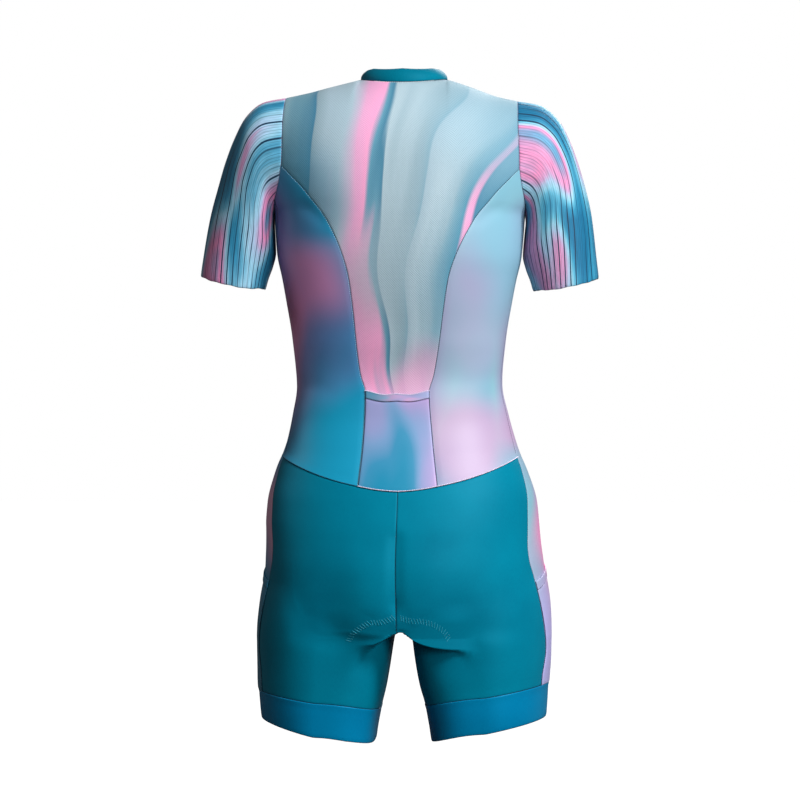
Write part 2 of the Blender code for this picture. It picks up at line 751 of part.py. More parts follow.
def add_hardware(name, grid, filled, frame, raised, colour, hinged=False):
    """Small metal piece built of cells and set on the zip's frame."""
    point, down, out = frame
    corners, faces = cell_mesh(*grid, filled)
    y, z = (point[n] + corners[:, 1] * down[n] + (corners[:, 2] + raised) * out[n] for n in (0, 1))
    placed = np.stack([corners[:, 0], y, z], axis=1)
    origin = (0, point[0] + raised * out[0], point[1] + raised * out[1]) if hinged else (0, 0, 0)
    made = add_mesh(name, placed, faces, colour, origin)
    edge = made.modifiers.new("Softened edges", "BEVEL")
    edge.width = 0.12 * MM
    edge.segments = 1
    edge.limit_method = "ANGLE"
    return made


def add_slider():
    """Slider with its bail, and the pull tab that swings on it."""
    frame = path_frame(zip_path(), SLIDER_DOWN)
    plate = COIL_RISE + 0.3 - PULL_AXIS
    xs = (-3.2, -1.0, 1.0, 3.2)
    downs = (-4.2, -1.9, -1.0, 1.0, 1.9, 4.2)
    outs = (plate, -1.0, 1.0, 1.8)
    body = {(i, j, 0) for i in range(3) for j in range(5)}
    bail = {(1, 1, 1), (1, 3, 1), (1, 1, 2), (1, 2, 2), (1, 3, 2)}
    add_hardware("zip_slider", (xs, downs, outs), body | bail, frame, PULL_AXIS, "metal")

    xs = (-2.6, -1.4, 1.4, 2.6)
    downs = (-0.45, 0.45, 2.9, PULL_LENGTH)
    outs = (-0.45, 0.45)
    tab = {(0, 0, 0), (1, 0, 0), (2, 0, 0), (0, 1, 0), (2, 1, 0), (0, 2, 0), (1, 2, 0), (2, 2, 0)}
    add_hardware("zip_pull", (xs, downs, outs), tab, frame, PULL_AXIS, "metal", hinged=True)


def main():
    """Clear the file and build the suit."""
    for old in list(bpy.data.objects):
        bpy.data.objects.remove(old)
    suit = bpy.data.collections.new("triathlon_suit")
    bpy.context.scene.collection.children.link(suit)
    add_collar()
    add_backs()
    add_fronts()
    add_sides()
    add_legs()
    add_sleeves()
    add_back_pocket()
    add_side_pockets()
    add_zip()
    add_slider()


main()
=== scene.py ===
"""Looks of the triathlon suit: its stretch-knit panels, seams, prints and zip, dressed over the fixed frame.

The front faces -Y and the wearer's left is +X. Shapes are worked out in millimetres and made in metres.
"""

import math

import bpy
import numpy as np
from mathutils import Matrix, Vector
from mathutils.bvhtree import BVHTree


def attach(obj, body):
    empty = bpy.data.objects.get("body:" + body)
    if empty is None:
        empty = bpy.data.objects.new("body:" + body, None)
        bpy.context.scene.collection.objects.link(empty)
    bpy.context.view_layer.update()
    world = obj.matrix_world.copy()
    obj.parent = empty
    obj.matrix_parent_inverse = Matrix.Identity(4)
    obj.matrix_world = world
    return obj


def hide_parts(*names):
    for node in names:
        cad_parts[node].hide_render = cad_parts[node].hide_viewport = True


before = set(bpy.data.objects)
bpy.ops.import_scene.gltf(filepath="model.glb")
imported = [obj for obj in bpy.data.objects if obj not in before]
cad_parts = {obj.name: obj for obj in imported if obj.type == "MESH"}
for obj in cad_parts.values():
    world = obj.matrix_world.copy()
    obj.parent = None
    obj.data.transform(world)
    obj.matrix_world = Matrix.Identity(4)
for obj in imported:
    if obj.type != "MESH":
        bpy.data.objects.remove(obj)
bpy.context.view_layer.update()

# Millimetres in metres, a length next to nothing, and the two sides of the suit with their signs.
MM = 0.001
TINY = 1e-9
SIDES = (("left", 1), ("right", -1))

# Cloth: its wall, the gap at a seam, the distance of a second line of points from each edge and the most of
# the way to the next points that it takes, the dips at the edge and at that line, and a lapped edge's rise.
WALL = 0.8
GAP = 0.07
EDGE = 1.3
INSET_LIMIT = 0.45
EDGE_DIP = 0.45
NEAR_DIP = 0.1
PROUD = 0.45

# Pitch of the sleeves' grooves, and half of the pitch of their ribs.
GROOVE = 9.2
RIB = 0.77

# Power that rounds the trunk's sections: 1 is an oval, less is squarer.
ROUND = 0.87

# Heights of the yoke line, the armpit and the crotch, how near to the crotch a row counts as its own, and how
# far above the armpit the rows of the chest end. The side panel's top sags between its two seams, and the sag
# runs out over a share of the torso.
YOKE_Z = -104.0
ARMPIT_Z = -143.0
CROTCH_Z = -642.5
CROTCH_NEAR = 0.1
ARMPIT_CLEAR = 2.0
ARMPIT_SAG = 11.0
SAG_SHARE = 0.15

# Waist seam: its heights at the centre back and at the sides, and the power by which it curves up. Then the
# distances of its side end and of the princess seam's end from the centre.
WAIST_SEAM = (-477.0, -439.3, 1.75)
WAIST_SIDE_X = 133.7
PRINCESS_END_X = 44.8

# Below its end the princess seam runs on as a mere line of points, to this turn over this height.
PRINCESS_END_Z = -471.0
PRINCESS_LAST = 33.0
PRINCESS_RUN = -90.0

# Neckline, shoulder end and the gap between the fronts. A share of the yoke's width ends at the neckline.
# The yoke's columns arch through these turns, eased by a power. Another power curves the neckline down.
ZIP_GAP = 8.0
NECK_X = 50.6
NECK_BACK_Y = 52.0
NECK_FRONT_Y = -62.0
NECK_BACK_Z = -7.5
NECK_FRONT_Z = -45.0
NECK_CURVE = 1.6
SHOULDER_X = 135.0
NECK_PART = 0.4
NAPE_TURN = 50.0
THROAT_TURN = 48.0
YOKE_EASE = 1.5

# Collar: half width, depth and height of its top edge. Its ends behind are rounded off beyond a distance from
# the centre, its top tilts a little, and a power makes it stand up before it leans in.
COLLAR_X = 40.5
COLLAR_BACK = (44.0, 9.5)
COLLAR_SIDE_Z = 15.0
COLLAR_FRONT = (-52.0, -22.0)
COLLAR_DROP = 2.5
COLLAR_DROP_X = (33.0, 9.0)
COLLAR_TILT = 0.08
COLLAR_LEAN = 2.4


def table(columns, *runs):
    """Columns of a table by name; its rows are parted by commas."""
    rows = [row.split() for run in runs for row in run.split(", ")]
    return {name: np.array(values, float) for name, values in zip(columns.split(), zip(*rows))}


# Sections of the trunk. Above the armpit the half width is that of the whole section, which the armholes cut.
TRUNK = table(
    "z half back front",
    "-104 162 104 -98",
    "-118 160.5 105.2 -104",
    "-131 157 105.8 -109.5",
    "-143 151.9 106 -113",
    "-154 146.5 105.8 -116",
    "-175 144.9 104.5 -119",
    "-204 142.4 101.5 -119.5",
    "-231 136.6 97 -115.5",
    "-256 132 91.5 -109",
    "-302 124.5 79 -99.5",
    "-356 119.8 66.5 -94",
    "-389 125.6 69.5 -96",
    "-431 136.4 83 -101",
    "-456 146 94 -103.5",
    "-490 155.6 108 -104.5",
    "-529 159 119 -102",
    "-569 163.5 123.5 -98",
    "-607 169 121 -92",
    "-643 171.2 113 -86",
)

# Sections of a leg: its inner and outer edges, the middle of its depth, half of that depth, and the power
# that rounds its inner half: 1 is an oval, less is squarer.
LEG = table(
    "z inner outer middle depth inside",
    "-642.5 0.4 171.2 9 94.5 0.56",
    "-643.6 4.8 171.2 9 94.4 0.56",
    "-646 8.4 171.2 9 94 0.56",
    "-653 11.1 171 8.7 93.3 0.56",
    "-670 14.1 170.6 7.6 92 0.56",
    "-687 16.9 169.7 6.6 91 0.56",
    "-708 20.8 168.5 5.2 89.8 0.58",
    "-729 25.9 167 4 88.5 0.6",
    "-750 29.6 165 2 86.5 0.62",
    "-771 32.8 163 0 84.5 0.62",
)

# How far the trunk has turned into two legs, by height: in general, and for its depth at the centre seam.
FORK = table(
    "z side centre",
    "-545 0 0, -585 0.1 0, -610 0.3 0.02, -625 0.55 0.06, -635.5 0.79 0.18, -640 0.92 0.42, -642.5 1 1",
)

# Rows of a leg, by the height of their inner and outer ends.
BAND_ROWS = ((-729, -708), (-750, -724.5), (-771, -741))
LEG_ROWS = ((-642.5, -642.5), (-646, -645), (-653, -650.5), (-664, -659), (-685, -675), (-707, -691.5),
            BAND_ROWS[0])

# Distance of the armhole from the centre plane, by height, and the line of the shoulder seam in front view.
ARMHOLE = table("z x", "-104 136.8, -118 139, -131 142, -143 145")
SHOULDER = table("x z", "50.6 0, 70 -4.7, 88 -9.3, 106 -14.3, 126 -18.7, 135 -20.5")

# Half width of the centre back between its princess seams.
PRINCESS = table(
    "z half",
    "-104 136.8, -118 123.5, -131 111, -143 101.5, -162 86.9, -201 67.2, -233 57, -273 51.3, -313 46.8",
    "-345 41.8, -365 36.3, -420 39.5, -471 44.8",
)

# Seams of the side panel, in degrees behind and before the side plane.
SIDE_SEAMS = table(
    "z back front",
    "-143 18.57 18.57, -175 12 14, -220 8 11, -300 7 10, -345 8 10, -400 11 12, -441 15.5 13",
    "-471 19 14, -498 22.5 15, -523 24 16, -542 25.4 17, -556 24.9 18, -574 22 18, -592 19.8 17",
    "-609 16.6 16, -627 13 15, -643 10.4 13.5, -662 10 13, -685 11.8 13, -708 13 14, -771 13 14",
)

# Lengthwise edges of a sleeve in front view and half of its depth, from armhole to cuff.
SLEEVE = table(
    "share outer_x outer_z inner_x inner_z depth",
    "0 135 -20.5 147.3 -154 61",
    "0.12 161 -25.5 147.2 -162 60",
    "0.25 181.5 -42 146.3 -170 58.5",
    "0.38 195 -68 145.4 -180 56",
    "0.5 204 -94 144.6 -190 53.5",
    "0.62 212 -123 144 -202 51",
    "0.75 220.5 -156 147.3 -217 48.5",
    "0.88 227 -193 152.5 -231 46.5",
    "1 231 -229 157.5 -244 45",
)

# Distance between rows of points, and the lengths that they divide: over the shoulder, from the armpit to the
# waist seam, from there to the crotch, and down the sleeve. A leg has a few rows for each of its listed ones.
STEP = 5.0
YOKE_LENGTH = 100.0
TORSO_LENGTH = 327.0
HIP_LENGTH = 171.5
SLEEVE_LENGTH = 230.0
LEG_FINENESS = 3
BAND_LINES = 9

# First rows of a side back, as distances below the yoke line, at its point on the armhole.
POINT_ROWS = (1.0, 3.0)

# Columns of points across each panel. The band's are those of the leg's back, its side and its front.
BACK_COLUMNS = 31
SIDE_BACK_COLUMNS = 19
SIDE_COLUMNS = 13
LEG_BACK_COLUMNS = 97
LEG_FRONT_COLUMNS = 27
BAND_SIDE_COLUMNS = 9
SLEEVE_PIT_COLUMNS = 8
COLLAR_COLUMNS = (15, 17)
COLLAR_LINES = 9
POCKET_COLUMNS = 13

# Rows of the shorts' back that are divided once more, before and behind its crotch row, and the smoothing of
# the rows round that row: rounds, and fades by distance from the centre plane and by rows away.
FINE_ROWS = (18, 12)
EASED_ROUNDS = 16
EASED_INNER = 10
EASED_FROM = {"back": 75, "front": EASED_INNER}
EASED_WIDTH = 30
EASED_ROWS = (8.4, -6.0)

# Pockets: where each bound top begins and ends, as a share of the torso or the hips. The lines and the level
# of each piece follow, and how far it lies off the cloth below with its wall.
BACK_POCKET_TOP, BACK_POCKET_BOUND = 0.665, 0.695
SIDE_POCKET_TOP, SIDE_POCKET_BOUND = 0.697, 0.746
BACK_POCKET_LINES, BACK_BINDING_LINES = 24, 6
BACK_POCKET_LEVEL, BACK_BINDING_LEVEL = 3.0, 3.2
SIDE_POCKET_LINES, SIDE_BINDING_LINES = 12, 5
PATCH = {"lift": 1.1, "wall": 0.6}
BOUND = {"lift": 1.7, "wall": 1.2}
COLLAR_WALL = 1.1

# Fall of the side pocket's top from its middle to its ends, and its fades by share of the hips.
SIDE_POCKET_SLANT = 24.0
SLANT_FADES = ((0.0, 0.6), (1.0, -0.25))

# Where the trunk turns into legs: its fullness, and fades by distance from the centre plane and by turn off
# the side plane. The two legs' edges stay a little apart at the centre seams.
FORK_FULLNESS = 0.08
FORK_REACH = (15.0, 70.0)
FORK_ARC = (30.0, 25.0)
CENTRE_X = 0.02
CENTRE_SEAM_X = 0.03

# Share of the sleeve over which the armhole's form runs out. Then the raw cuff: its rows, its waves by depth,
# number and phase, its drop behind and its flare.
HOLE_SHARE = 0.3
CUFF_ROWS = 10
CUFF_WAVES = ((0.4, 5, 0.6), (0.3, 13, 0.0))
CUFF_DROP = 5.0
CUFF_FLARE = 1.2

# Zip: half width of the tape, its wall, the height and width of its crown, its columns, and the rows on which
# its line runs: over the shoulder, by height and by share of the torso. The line is then divided into even
# steps. The coil lies as far aside as it lies off the tape; its pitch, length, width and slot follow.
TAPE_HALF = 3.7
TAPE_WALL = 0.9
TAPE_CROWN = (0.35, 1.2)
TAPE_COLUMNS = 13
TAPE_YOKE_ROWS = 9
TAPE_SHARES = (0, 0.06, 0.15, 0.24, 0.33, 0.42, 0.51, 0.59, 0.665, 0.695, 0.77, 0.85, 0.92, 1)
CHEST_Z = (-118.0, -131.0)
ZIP_STEP = 2
COIL_PLACE = 0.75
COIL = (1.35, 0.85, 1.7, "zip_tape")

# Soft troughs and ridges of the worn cloth: the side that they lie on, ends, depth and half width.
CREASES = table(
    "face x0 z0 x1 z1 depth spread",
    "1 14 -628 40 -640 -1.6 9",
    "1 -12 -628 -60 -642 -1.8 10",
    "1 40 -560 36 -615 -2 26",
    "1 -40 -560 -36 -615 -2 26",
    "1 0 -530 0 -625 2.5 8",
    "1 -70 -640 -128 -634 1.2 13",
    "1 44 -652 112 -640 1.3 13",
    "-1 10 -630 60 -600 1.6 8",
    "-1 -10 -632 -66 -598 1.4 8",
    "1 112 -150 84 -172 0.9 6",
    "1 -114 -148 -88 -168 0.8 6",
    "-1 112 -152 80 -170 1.1 7",
    "-1 -114 -150 -82 -172 1 7",
    "1 118 -352 78 -362 0.5 9",
    "1 -117 -346 -82 -352 0.4 9",
    "-1 100 -360 50 -368 0.7 9",
    "-1 -98 -356 -54 -362 0.6 9",
)

# The trough's depth fades beyond its ends, by share of its length, and off the side that it lies on.
CREASE_END = (1.25, -1.0)
CREASE_FACE = (0.0, 30.0)

# How far the suit leans aside by height.
LEAN = table("z x", "40 0, -35 0, -110 2.4, -250 3.4, -330 3.2, -430 0.2, -500 -1.8, -570 -2.3, -790 -2.3")

# Small shifts of the worn suit. A fade is given by its start and its length, and a bell by its middle and its
# width. First come the fades by depth that part the back from the front.
REAR = (-45.0, 40.0)
FRONT = (50.0, -50.0)

# The right shoulder hangs lower: amount, and fades by side and by height.
SUNK = (5.0, (-40.0, -80.0), (-330.0, 180.0))

# The back of the collar is drawn to the right: amount, and fades by side and by height.
NECK_SHIFT = (2.6, (130.0, -70.0), (-45.0, 35.0))

# The right sleeve stands out at its middle: amount, fade by side and bell by height.
SLEEVE_PUFF = (4.2, (-150.0, -40.0), (-125.0, 60.0))

# The crotch is drawn up into a round arch: amount, place and width of the arch, each behind and in front, and
# fade by height.
ARCH_RISE = (3.6, 7.2)
ARCH_X = (-4.5, 0.0)
ARCH_WIDTH = (8.5, 12.5)
ARCH_Z = (-630.0, -9.0)

# The top of the right leg's band is drawn up: amounts at its inner and outer ends, distances of these from
# the centre plane, fade by side and width of the bell by height.
BAND_RISE = (5.0, 8.5)
BAND_SPAN = (25.0, 165.0)
BAND_RISE_X = (0.0, -20.0)
BAND_RISE_WIDTH = 24.0

# The hems are drawn up from right to left, with a fade by height.
HEM_RISE = table("x z", "-90 2.2, -25 4.2, 25 3.2, 62 -0.9, 100 -2.3")
HEM_RISE_Z = (-735.0, -25.0)

# The back pocket's top edge sags in its middle: amount, fade by side and bell by height.
POCKET_SAG = (3.4, (37.0, -24.0), (-362.0, 18.0))

# How far the left hip stands out by height, with a fade by side.
HIP_REACH = table(
    "z x",
    "-700 0, -676 -1.2, -630 -2.3, -606 -3.5, -583 -4.2, -560 -2.3, -536 0, -513 2.2, -443 2.2, -420 0",
)
HIP_REACH_X = (110.0, 40.0)

# How far the back of the suit is turned about its upright axis by height, as a share of its depth.
TURN = table(
    "z share",
    "40 0, -40 0, -95 0.045, -175 0.05, -225 0.04, -290 0.03, -365 0.003, -450 -0.01, -500 -0.02",
    "-560 -0.035, -620 -0.03, -680 -0.012, -790 -0.012",
)

# Lines of the two folds under the seat, outwards from the crotch, each with its side, its depth and the
# height over which the cloth below it comes out again.
FOLDS = (
    (table("x z", "5 -640.5, 9 -642.3, 18 -646.8, 27 -650.8"), 1, 14.0, 9.0),
    (table("x z", "5 -640.5, 13 -643.5, 28 -650.5, 47 -655.2, 69 -657.2"), -1, 22.0, 16.0),
)

# Fold: half height of its edge, that height at its outer end, the power by which it runs out, and its fade by
# depth. Then the lip above it, where the seat keeps its form: its spread beyond the fold's end, and fades.
FOLD_EDGE = 1.25
FOLD_TAIL = 3
FOLD_POWER = 0.8
FOLD_REAR = (5.0, 40.0)
LIP_SPREAD = 42
LIP_SPREAD_X = (-6.0, 45.0)
LIP_X = (60.0, -75.0)
LIP_Z = (-600.0, -25.0)
LIP_REAR = (0.45, 0.25)

# Arcs of the seam that holds the pad inside, and the pitch, half width and slant of its strokes.
PAD_ARCS = (
    table("x z", "3 -618.5, 7 -620, 18 -624, 30 -624, 40 -629, 50 -637, 56 -646"),
    table("x z", "-4 -618.5, -14 -622, -28 -622.5, -42 -626.5, -53 -634, -59 -645"),
)
PAD_STITCH = (3.3, 2.6, 1.0)

# Points in a stroke, how far they lie off the cloth, and a distance behind the whole suit.
PAD_POINTS = 7
PAD_RISE = 0.1
BEHIND_ALL = 300

# Threads: pitch, length and width of a stitch in millimetres, and the name of a slot.
THREADS = {
    "dark": (2.4, 2.3, 0.6, "binding"),
    "tonal": (2.4, 2.3, 0.6, "binding"),
    "pale": (2.6, 1.5, 0.6, "binding"),
    # This line is partly a light thread and partly a painted highlight: whitish stitches on the lit lapped
    # edges.
    "rose_highlight": (2.0, 2.2, 1.3, "binding"),
    "lilac": (3.4, 2.2, 0.6, "sleeve"),
}
PAD_THREAD = (0.85, 1.2, 0.7, "shorts")

# Seams by thread: panels, their edges, and how the thread lies: how far inside the edge and off the cloth.
LIES = {
    "on": (0.0, 0.15),
    "patch": (0.0, 0.5),
    "lap": (0.5, 0.3),
    "low": (0.6, 0.12),
    "mid": (0.7, 0.12),
    "far": (0.9, 0.12),
    "bound": (1.4, 0.12),
}
SEAMS = {
    # The dark rows on the lapped waist seam of the left half stand where the right half has whitish ones:
    # painted shade on the side away from the lamps.
    "dark": "side_left last on, side_left first on, leg_back_left bottom on, leg_front_left bottom on, "
            "side_pocket_binding_left bottom bound, back_side_right last on, side_right last on, "
            "leg_back_right bottom on, leg_front_right bottom on, leg_back_left first on, "
            "leg_front_left last on, collar bottom on, back_pocket_binding bottom low, "
            "back_pocket first patch, back_pocket last patch, back_side_left bottom lap, "
            "front_left bottom lap",
    # Tonal rows along the tops of the front legs paint the thin shadow under the fronts' lapped edge; on the
    # left princess seam they take the place of the dark thread, lighter in part as a painted highlight.
    "tonal": "back_side_left first on, leg_front_left top on, leg_front_right top on",
    "pale": "back_side_left first far, back_side_right last far",
    # These whitish rows paint the highlight on the lapped waist seam of the right half and the middle, and on
    # the binding's top edge.
    "rose_highlight": "back_pocket bottom lap, back_side_right bottom lap, front_right bottom lap, "
            "back_pocket_binding top mid",
    "lilac": "sleeve_left top on, side_right first on, sleeve_right top on, "
             "side_pocket_binding_right bottom bound",
}

# Name of the tree that lays stitches.
STITCHES = "Stitches along a seam"

# Shader inputs by the words used here.
NAMES = {
    "rough": "Roughness",
    "metal": "Metallic",
    "tint": "Specular Tint",
    "sheen": "Sheen Weight",
    "sheen_rough": "Sheen Roughness",
    "specular": "Specular IOR Level",
}


def ramp(*runs):
    """Stops of a colour ramp, each a place and an sRGB colour, parted by commas."""
    pairs = [stop.split() for run in runs for stop in run.split(", ")]
    return [(float(place), code) for place, code in pairs]


# Print colours, from the low to the high end of each pattern.
CENTRE_STOPS = ramp(
    "0 #4E8FA8, 0.12 #6FA3B6, 0.2 #3F7F9E, 0.215 #EFA0CB, 0.24 #E9A9CF, 0.25 #4E8FA8",
    "0.29 #93B0BD, 0.33 #A8BFCA, 0.4 #9CB5C2, 0.41 #7FA3B3, 0.45 #8FAAB6, 0.5 #A8BEC8",
    "0.505 #3A7894, 0.525 #5E97AE, 0.54 #F0A3CC, 0.6 #E2A6CC, 0.66 #A7BFCC, 0.71 #8FAAB6",
    "0.715 #3F7F9E, 0.75 #6495A9, 0.82 #7FA5B3, 0.9 #6F9AAA, 1 #86A6B2",
)
CENTRE_CLOUDS = [
    ((-0.075, 0.08, -0.27), (0.07, 0.5, 0.12), "#4E8AA4", 0.75),
    ((0.03, 0.09, -0.22), (0.06, 0.5, 0.09), "#9DB4BF", 0.6),
    ((-0.015, 0.07, -0.37), (0.05, 0.5, 0.08), "#EFA0CB", 0.65),
    ((0.12, 0.07, -0.12), (0.06, 0.5, 0.09), "#3F83A0", 0.6),
    ((-0.13, 0.05, -0.06), (0.10, 0.5, 0.12), "#6C98AB", 0.75),
]
# The left side's print and clouds are kept darker and the right side's paler: partly print, partly painted
# shade on the left and painted light on the right, where the lamps stand.
LEFT_STOPS = ramp("0.34 #0079A4, 0.46 #008CB4, 0.54 #4C83B4, 0.62 #8C8CC4, 0.7 #E89AC8")
LEFT_CLOUDS = [
    ((0.115, 0.03, -0.24), (0.07, 0.5, 0.08), "#F78FC4", 0.6),
    ((0.06, 0.06, -0.42), (0.11, 0.5, 0.10), "#0090B4", 0.9),
    ((0.07, 0.06, -0.31), (0.05, 0.5, 0.08), "#5C7FB8", 0.6),
    ((0.14, 0.0, -0.51), (0.06, 0.5, 0.075), "#F2AAC4", 0.8),
    ((0.16, 0.0, -0.655), (0.10, 0.5, 0.11), "#4A7E95", 0.9),
]
RIGHT_STOPS = ramp("0.34 #589BB4, 0.44 #80B0BE, 0.52 #9D9BBD, 0.6 #C095B6, 0.7 #D088B0")
RIGHT_CLOUDS = [
    ((-0.11, 0.03, -0.20), (0.06, 0.5, 0.10), "#7FB6CB", 0.8),
    ((-0.07, 0.06, -0.30), (0.05, 0.5, 0.08), "#ABA8C8", 0.6),
    ((-0.09, 0.06, -0.42), (0.09, 0.5, 0.08), "#C58DB4", 0.65),
    ((-0.155, 0.0, -0.455), (0.05, 0.5, 0.05), "#7FA3B8", 0.8),
    ((-0.175, 0.0, -0.535), (0.06, 0.09, 0.06), "#F48CC0", 0.9),
    ((-0.155, 0.085, -0.56), (0.03, 0.035, 0.06), "#8FB4CE", 0.7),
    ((-0.15, 0.0, -0.67), (0.10, 0.5, 0.11), "#AFA8DC", 0.9),
]
POCKET_STOPS = ramp("0.42 #0082A6, 0.49 #2E86AC, 0.55 #6F93BC, 0.62 #A391C2, 0.7 #E29FC8")
SLEEVE_LEFT_STOPS = ramp(
    "0.3 #14749B, 0.4 #2C89AF, 0.46 #5FA9C8, 0.5 #92C6DD",
    "0.56 #A9BEDC, 0.61 #CF9FCB, 0.67 #EE90C2, 0.76 #6A98BF",
)
SLEEVE_RIGHT_STOPS = ramp(
    "0.3 #0D6C93, 0.4 #2A8BB0, 0.47 #5FB2CE, 0.52 #93CBE0",
    "0.57 #A9C2DE, 0.62 #CD9CC6, 0.68 #E68DBB, 0.77 #5C9ABF",
)
SHORTS_STOPS = ramp("0.45 #006882, 0.85 #007791")
BAND_STOPS = ramp("0.45 #006C98, 0.85 #007BA8")
COLLAR_STOPS = ramp("0.45 #006178, 0.85 #007188")
BINDING_STOPS = ramp("0.35 #8F93BE, 0.5 #A79CC8, 0.6 #C79BC6, 0.7 #9FB0D2")
BINDING_CLOUDS = [
    ((0.04, 0.07, -0.36), (0.045, 0.5, 0.2), "#4288A4", 0.9),
    ((-0.045, 0.07, -0.36), (0.03, 0.5, 0.2), "#8FA3CC", 0.6),
]
TAPE_STOPS = ramp("0.45 #0C3B55, 0.85 #145070")
REVERSE_STOPS = ramp("0.35 #C9D6DC, 0.65 #DAD3DE")
METAL_STOPS = ramp("0.3 #8C8F94, 0.7 #9A9DA2")
GROOVE_COLOUR = "#04304C"

# Middle part of a noise texture's values.
MIDDLE = (0.3, 0.7)

# Ribbons of the printed jerseys: their sway in metres, and a haze that bends them.
FLOW = {"sway": 0.02, "haze": 0.16, "haze_scale": 5.0}

# Plume on the centre back: its focus and spread in metres and radians, its bends by height, and the haze and
# the brush that roughen it.
PLUME = {"x": 0.02, "z": -0.66, "spread": 0.36, "bend": 0.07, "waves": 11.0, "phase": 0.4,
         "haze": 0.11, "haze_scale": 4.0, "brush": 0.16, "scale": (16.0, 3.0, 2.2)}

# Prints on jersey: roughness, sway in radians a metre, and ribbons a metre in X, Y and Z.
SIDE_PRINT = (0.46, 6.0, (8.0, 5.0, 2.2))
POCKET_PRINT = (0.48, 12.0, (14.0, 5.0, 5.0))
BINDING_PRINT = (0.48, 12.0, (30.0, 5.0, 160.0))

# Clouds: the haze that bends them, and the share of their reach with their full colour.
CLOUD = {"haze": 0.1, "haze_scale": 7.0, "core": 0.25}

# Mesh: pitch of its holes in metres, edges of a hole as shares of the pitch, and light in and between them.
MESH = {"pitch": 0.0019, "hole": (0.18, 0.42), "light": (0.82, 1.04)}

# Width and length of a wale in metres, the weight of the grain in a plain shade, and how a thread varies.
WALE = (0.0012, 0.004)
GRAIN_SHARE = 0.35
PLY_LEVELS = (0.75, 1.2)

# Sleeves: grooves round a full ring, lengths between which they slant, blotches of colour and the streaks
# that stir them, flecks (width and length in metres, darkest and lightest), and grooves (pitch and half width
# in metres, strength and place in the noise that fades them).
GROOVES_ROUND = 36
SLANT_FROM = (-0.07, -0.22)
BLOTCH = {"place": (0, 0, 2.1), "scale": (0.75, 0.75, 4.2), "bend": 0.9, "bend_scale": 1.3, "fine_scale": 1.5}
STREAK = {"wide": 0.0042, "long": 0.06, "stir": 0.014}
HEATHER = ((0.0011, 0.012, 0.84, 1.14), (0.0034, 0.07, 0.9, 1.08))
HEATHER_PLACE = (7, 3, 0)
GROOVES = ((GROOVE * MM, 0.0007, 1.0, 3.0), (GROOVE * MM / 3, 0.0003, 0.4, 9.0))
GROOVE_FADE = {"scale": 9.0, "noise_scale": 0.9, "range": (0.38, 0.56), "least": 0.1}

# Camera: its turn about the suit, distances, sensor and lens. Lamps: place, size and power of each, and the
# point that they face. The floor ends far outside the view.
VIEW_TURN = 2.8
VIEW_AWAY = 3.5
VIEW_ASIDE = 0.0023
VIEW_Z = -0.373
VIEW_SENSOR = 36.0
VIEW_LENS = 135.08
LIGHTS = (
    ("key", (-2.2, 2.1, 2.3), 1.2, 190.0),
    ("fill", (-1.7, 2.9, 0.0), 1.2, 52.0),
    ("rim", (2.9, 0.1, 1.2), 1.0, 8.0),
    ("back", (-0.9, -2.8, 1.4), 1.6, 48.0),
)
LIT_POINT = (0, 0, -0.4)
WORLD_LIGHT = 0.09
FLOOR_HALF = 9
FLOOR_Z = -0.8

# Outer faces of the dressed panels, by node: their points and normals.
FACES = {}


def at(columns, name, where):
    """Value of a column at a place along the table's first column, on a smooth line without overshoot."""
    key = next(iter(columns))
    order = np.argsort(columns[key])
    xs, ys = columns[key][order], columns[name][order]
    step = np.diff(xs)
    grade = np.diff(ys) / step
    slope = np.concatenate([grade[:1], np.zeros(len(step) - 1), grade[-1:]])
    product = grade[:-1] * grade[1:]
    total = grade[:-1] + grade[1:]
    same = product > 0
    slope[1:-1][same] = 2 * product[same] / total[same]
    i = np.clip(np.searchsorted(xs, where) - 1, 0, len(step) - 1)
    t = np.clip((where - xs[i]) / step[i], 0, 1)
    rise = (3 - 2 * t) * t * t
    bend = t * (1 - t) * ((1 - t) * slope[i] - t * slope[i + 1]) * step[i]
    return ys[i] * (1 - rise) + ys[i + 1] * rise + bend


def smooth(share):
    """Ease from 0 to 1."""
    share = np.clip(share, 0, 1)
    return share * share * (3 - 2 * share)


def fade(value, start, length):
    """Ease from 0 at a start to 1 at a length beyond it, which is negative where the values fall."""
    return smooth((value - start) / length)


def bell(value, middle, width):
    """Bell curve of height 1."""
    return np.exp(-(((value - middle) / width) ** 2))


def mix(first, last, share):
    """Straight blend of two values or points."""
    return first + (last - first) * share


def trunk_point(z, turn):
    """Point on the trunk: turn runs from centre back (0) past the side (90) to centre front (180)."""
    z, turn = np.broadcast_arrays(np.asarray(z, float), np.asarray(turn, float))
    side, end = np.sin(np.radians(turn)), np.cos(np.radians(turn))
    depth = np.where(turn < 90, at(TRUNK, "back", z), at(TRUNK, "front", z))
    x = at(TRUNK, "half", z) * np.clip(side, 0, 1) ** ROUND
    return np.stack([x, depth * np.abs(end) ** ROUND, z], axis=-1)


def turn_of(x, z):
    """Turn from the centre back at which the trunk's section reaches x."""
    return math.degrees(math.asin(min(1.0, (x / at(TRUNK, "half", z)) ** (1 / ROUND))))


def leg_point(z, turn):
    """Point on a leg: the same turns as on the trunk run once round it, from and to its inner edge."""
    along, across_it = -np.cos(np.radians(2 * turn)), np.sin(np.radians(2 * turn))
    power = np.where(along < 0, at(LEG, "inside", z), 1.0)
    along, across_it = (np.sign(part) * np.abs(part) ** power for part in (along, across_it))
    inner, outer = at(LEG, "inner", z), at(LEG, "outer", z)
    x = (inner + outer) / 2 + (outer - inner) / 2 * along
    return np.stack([x, at(LEG, "middle", z) + at(LEG, "depth", z) * across_it, z], axis=-1)


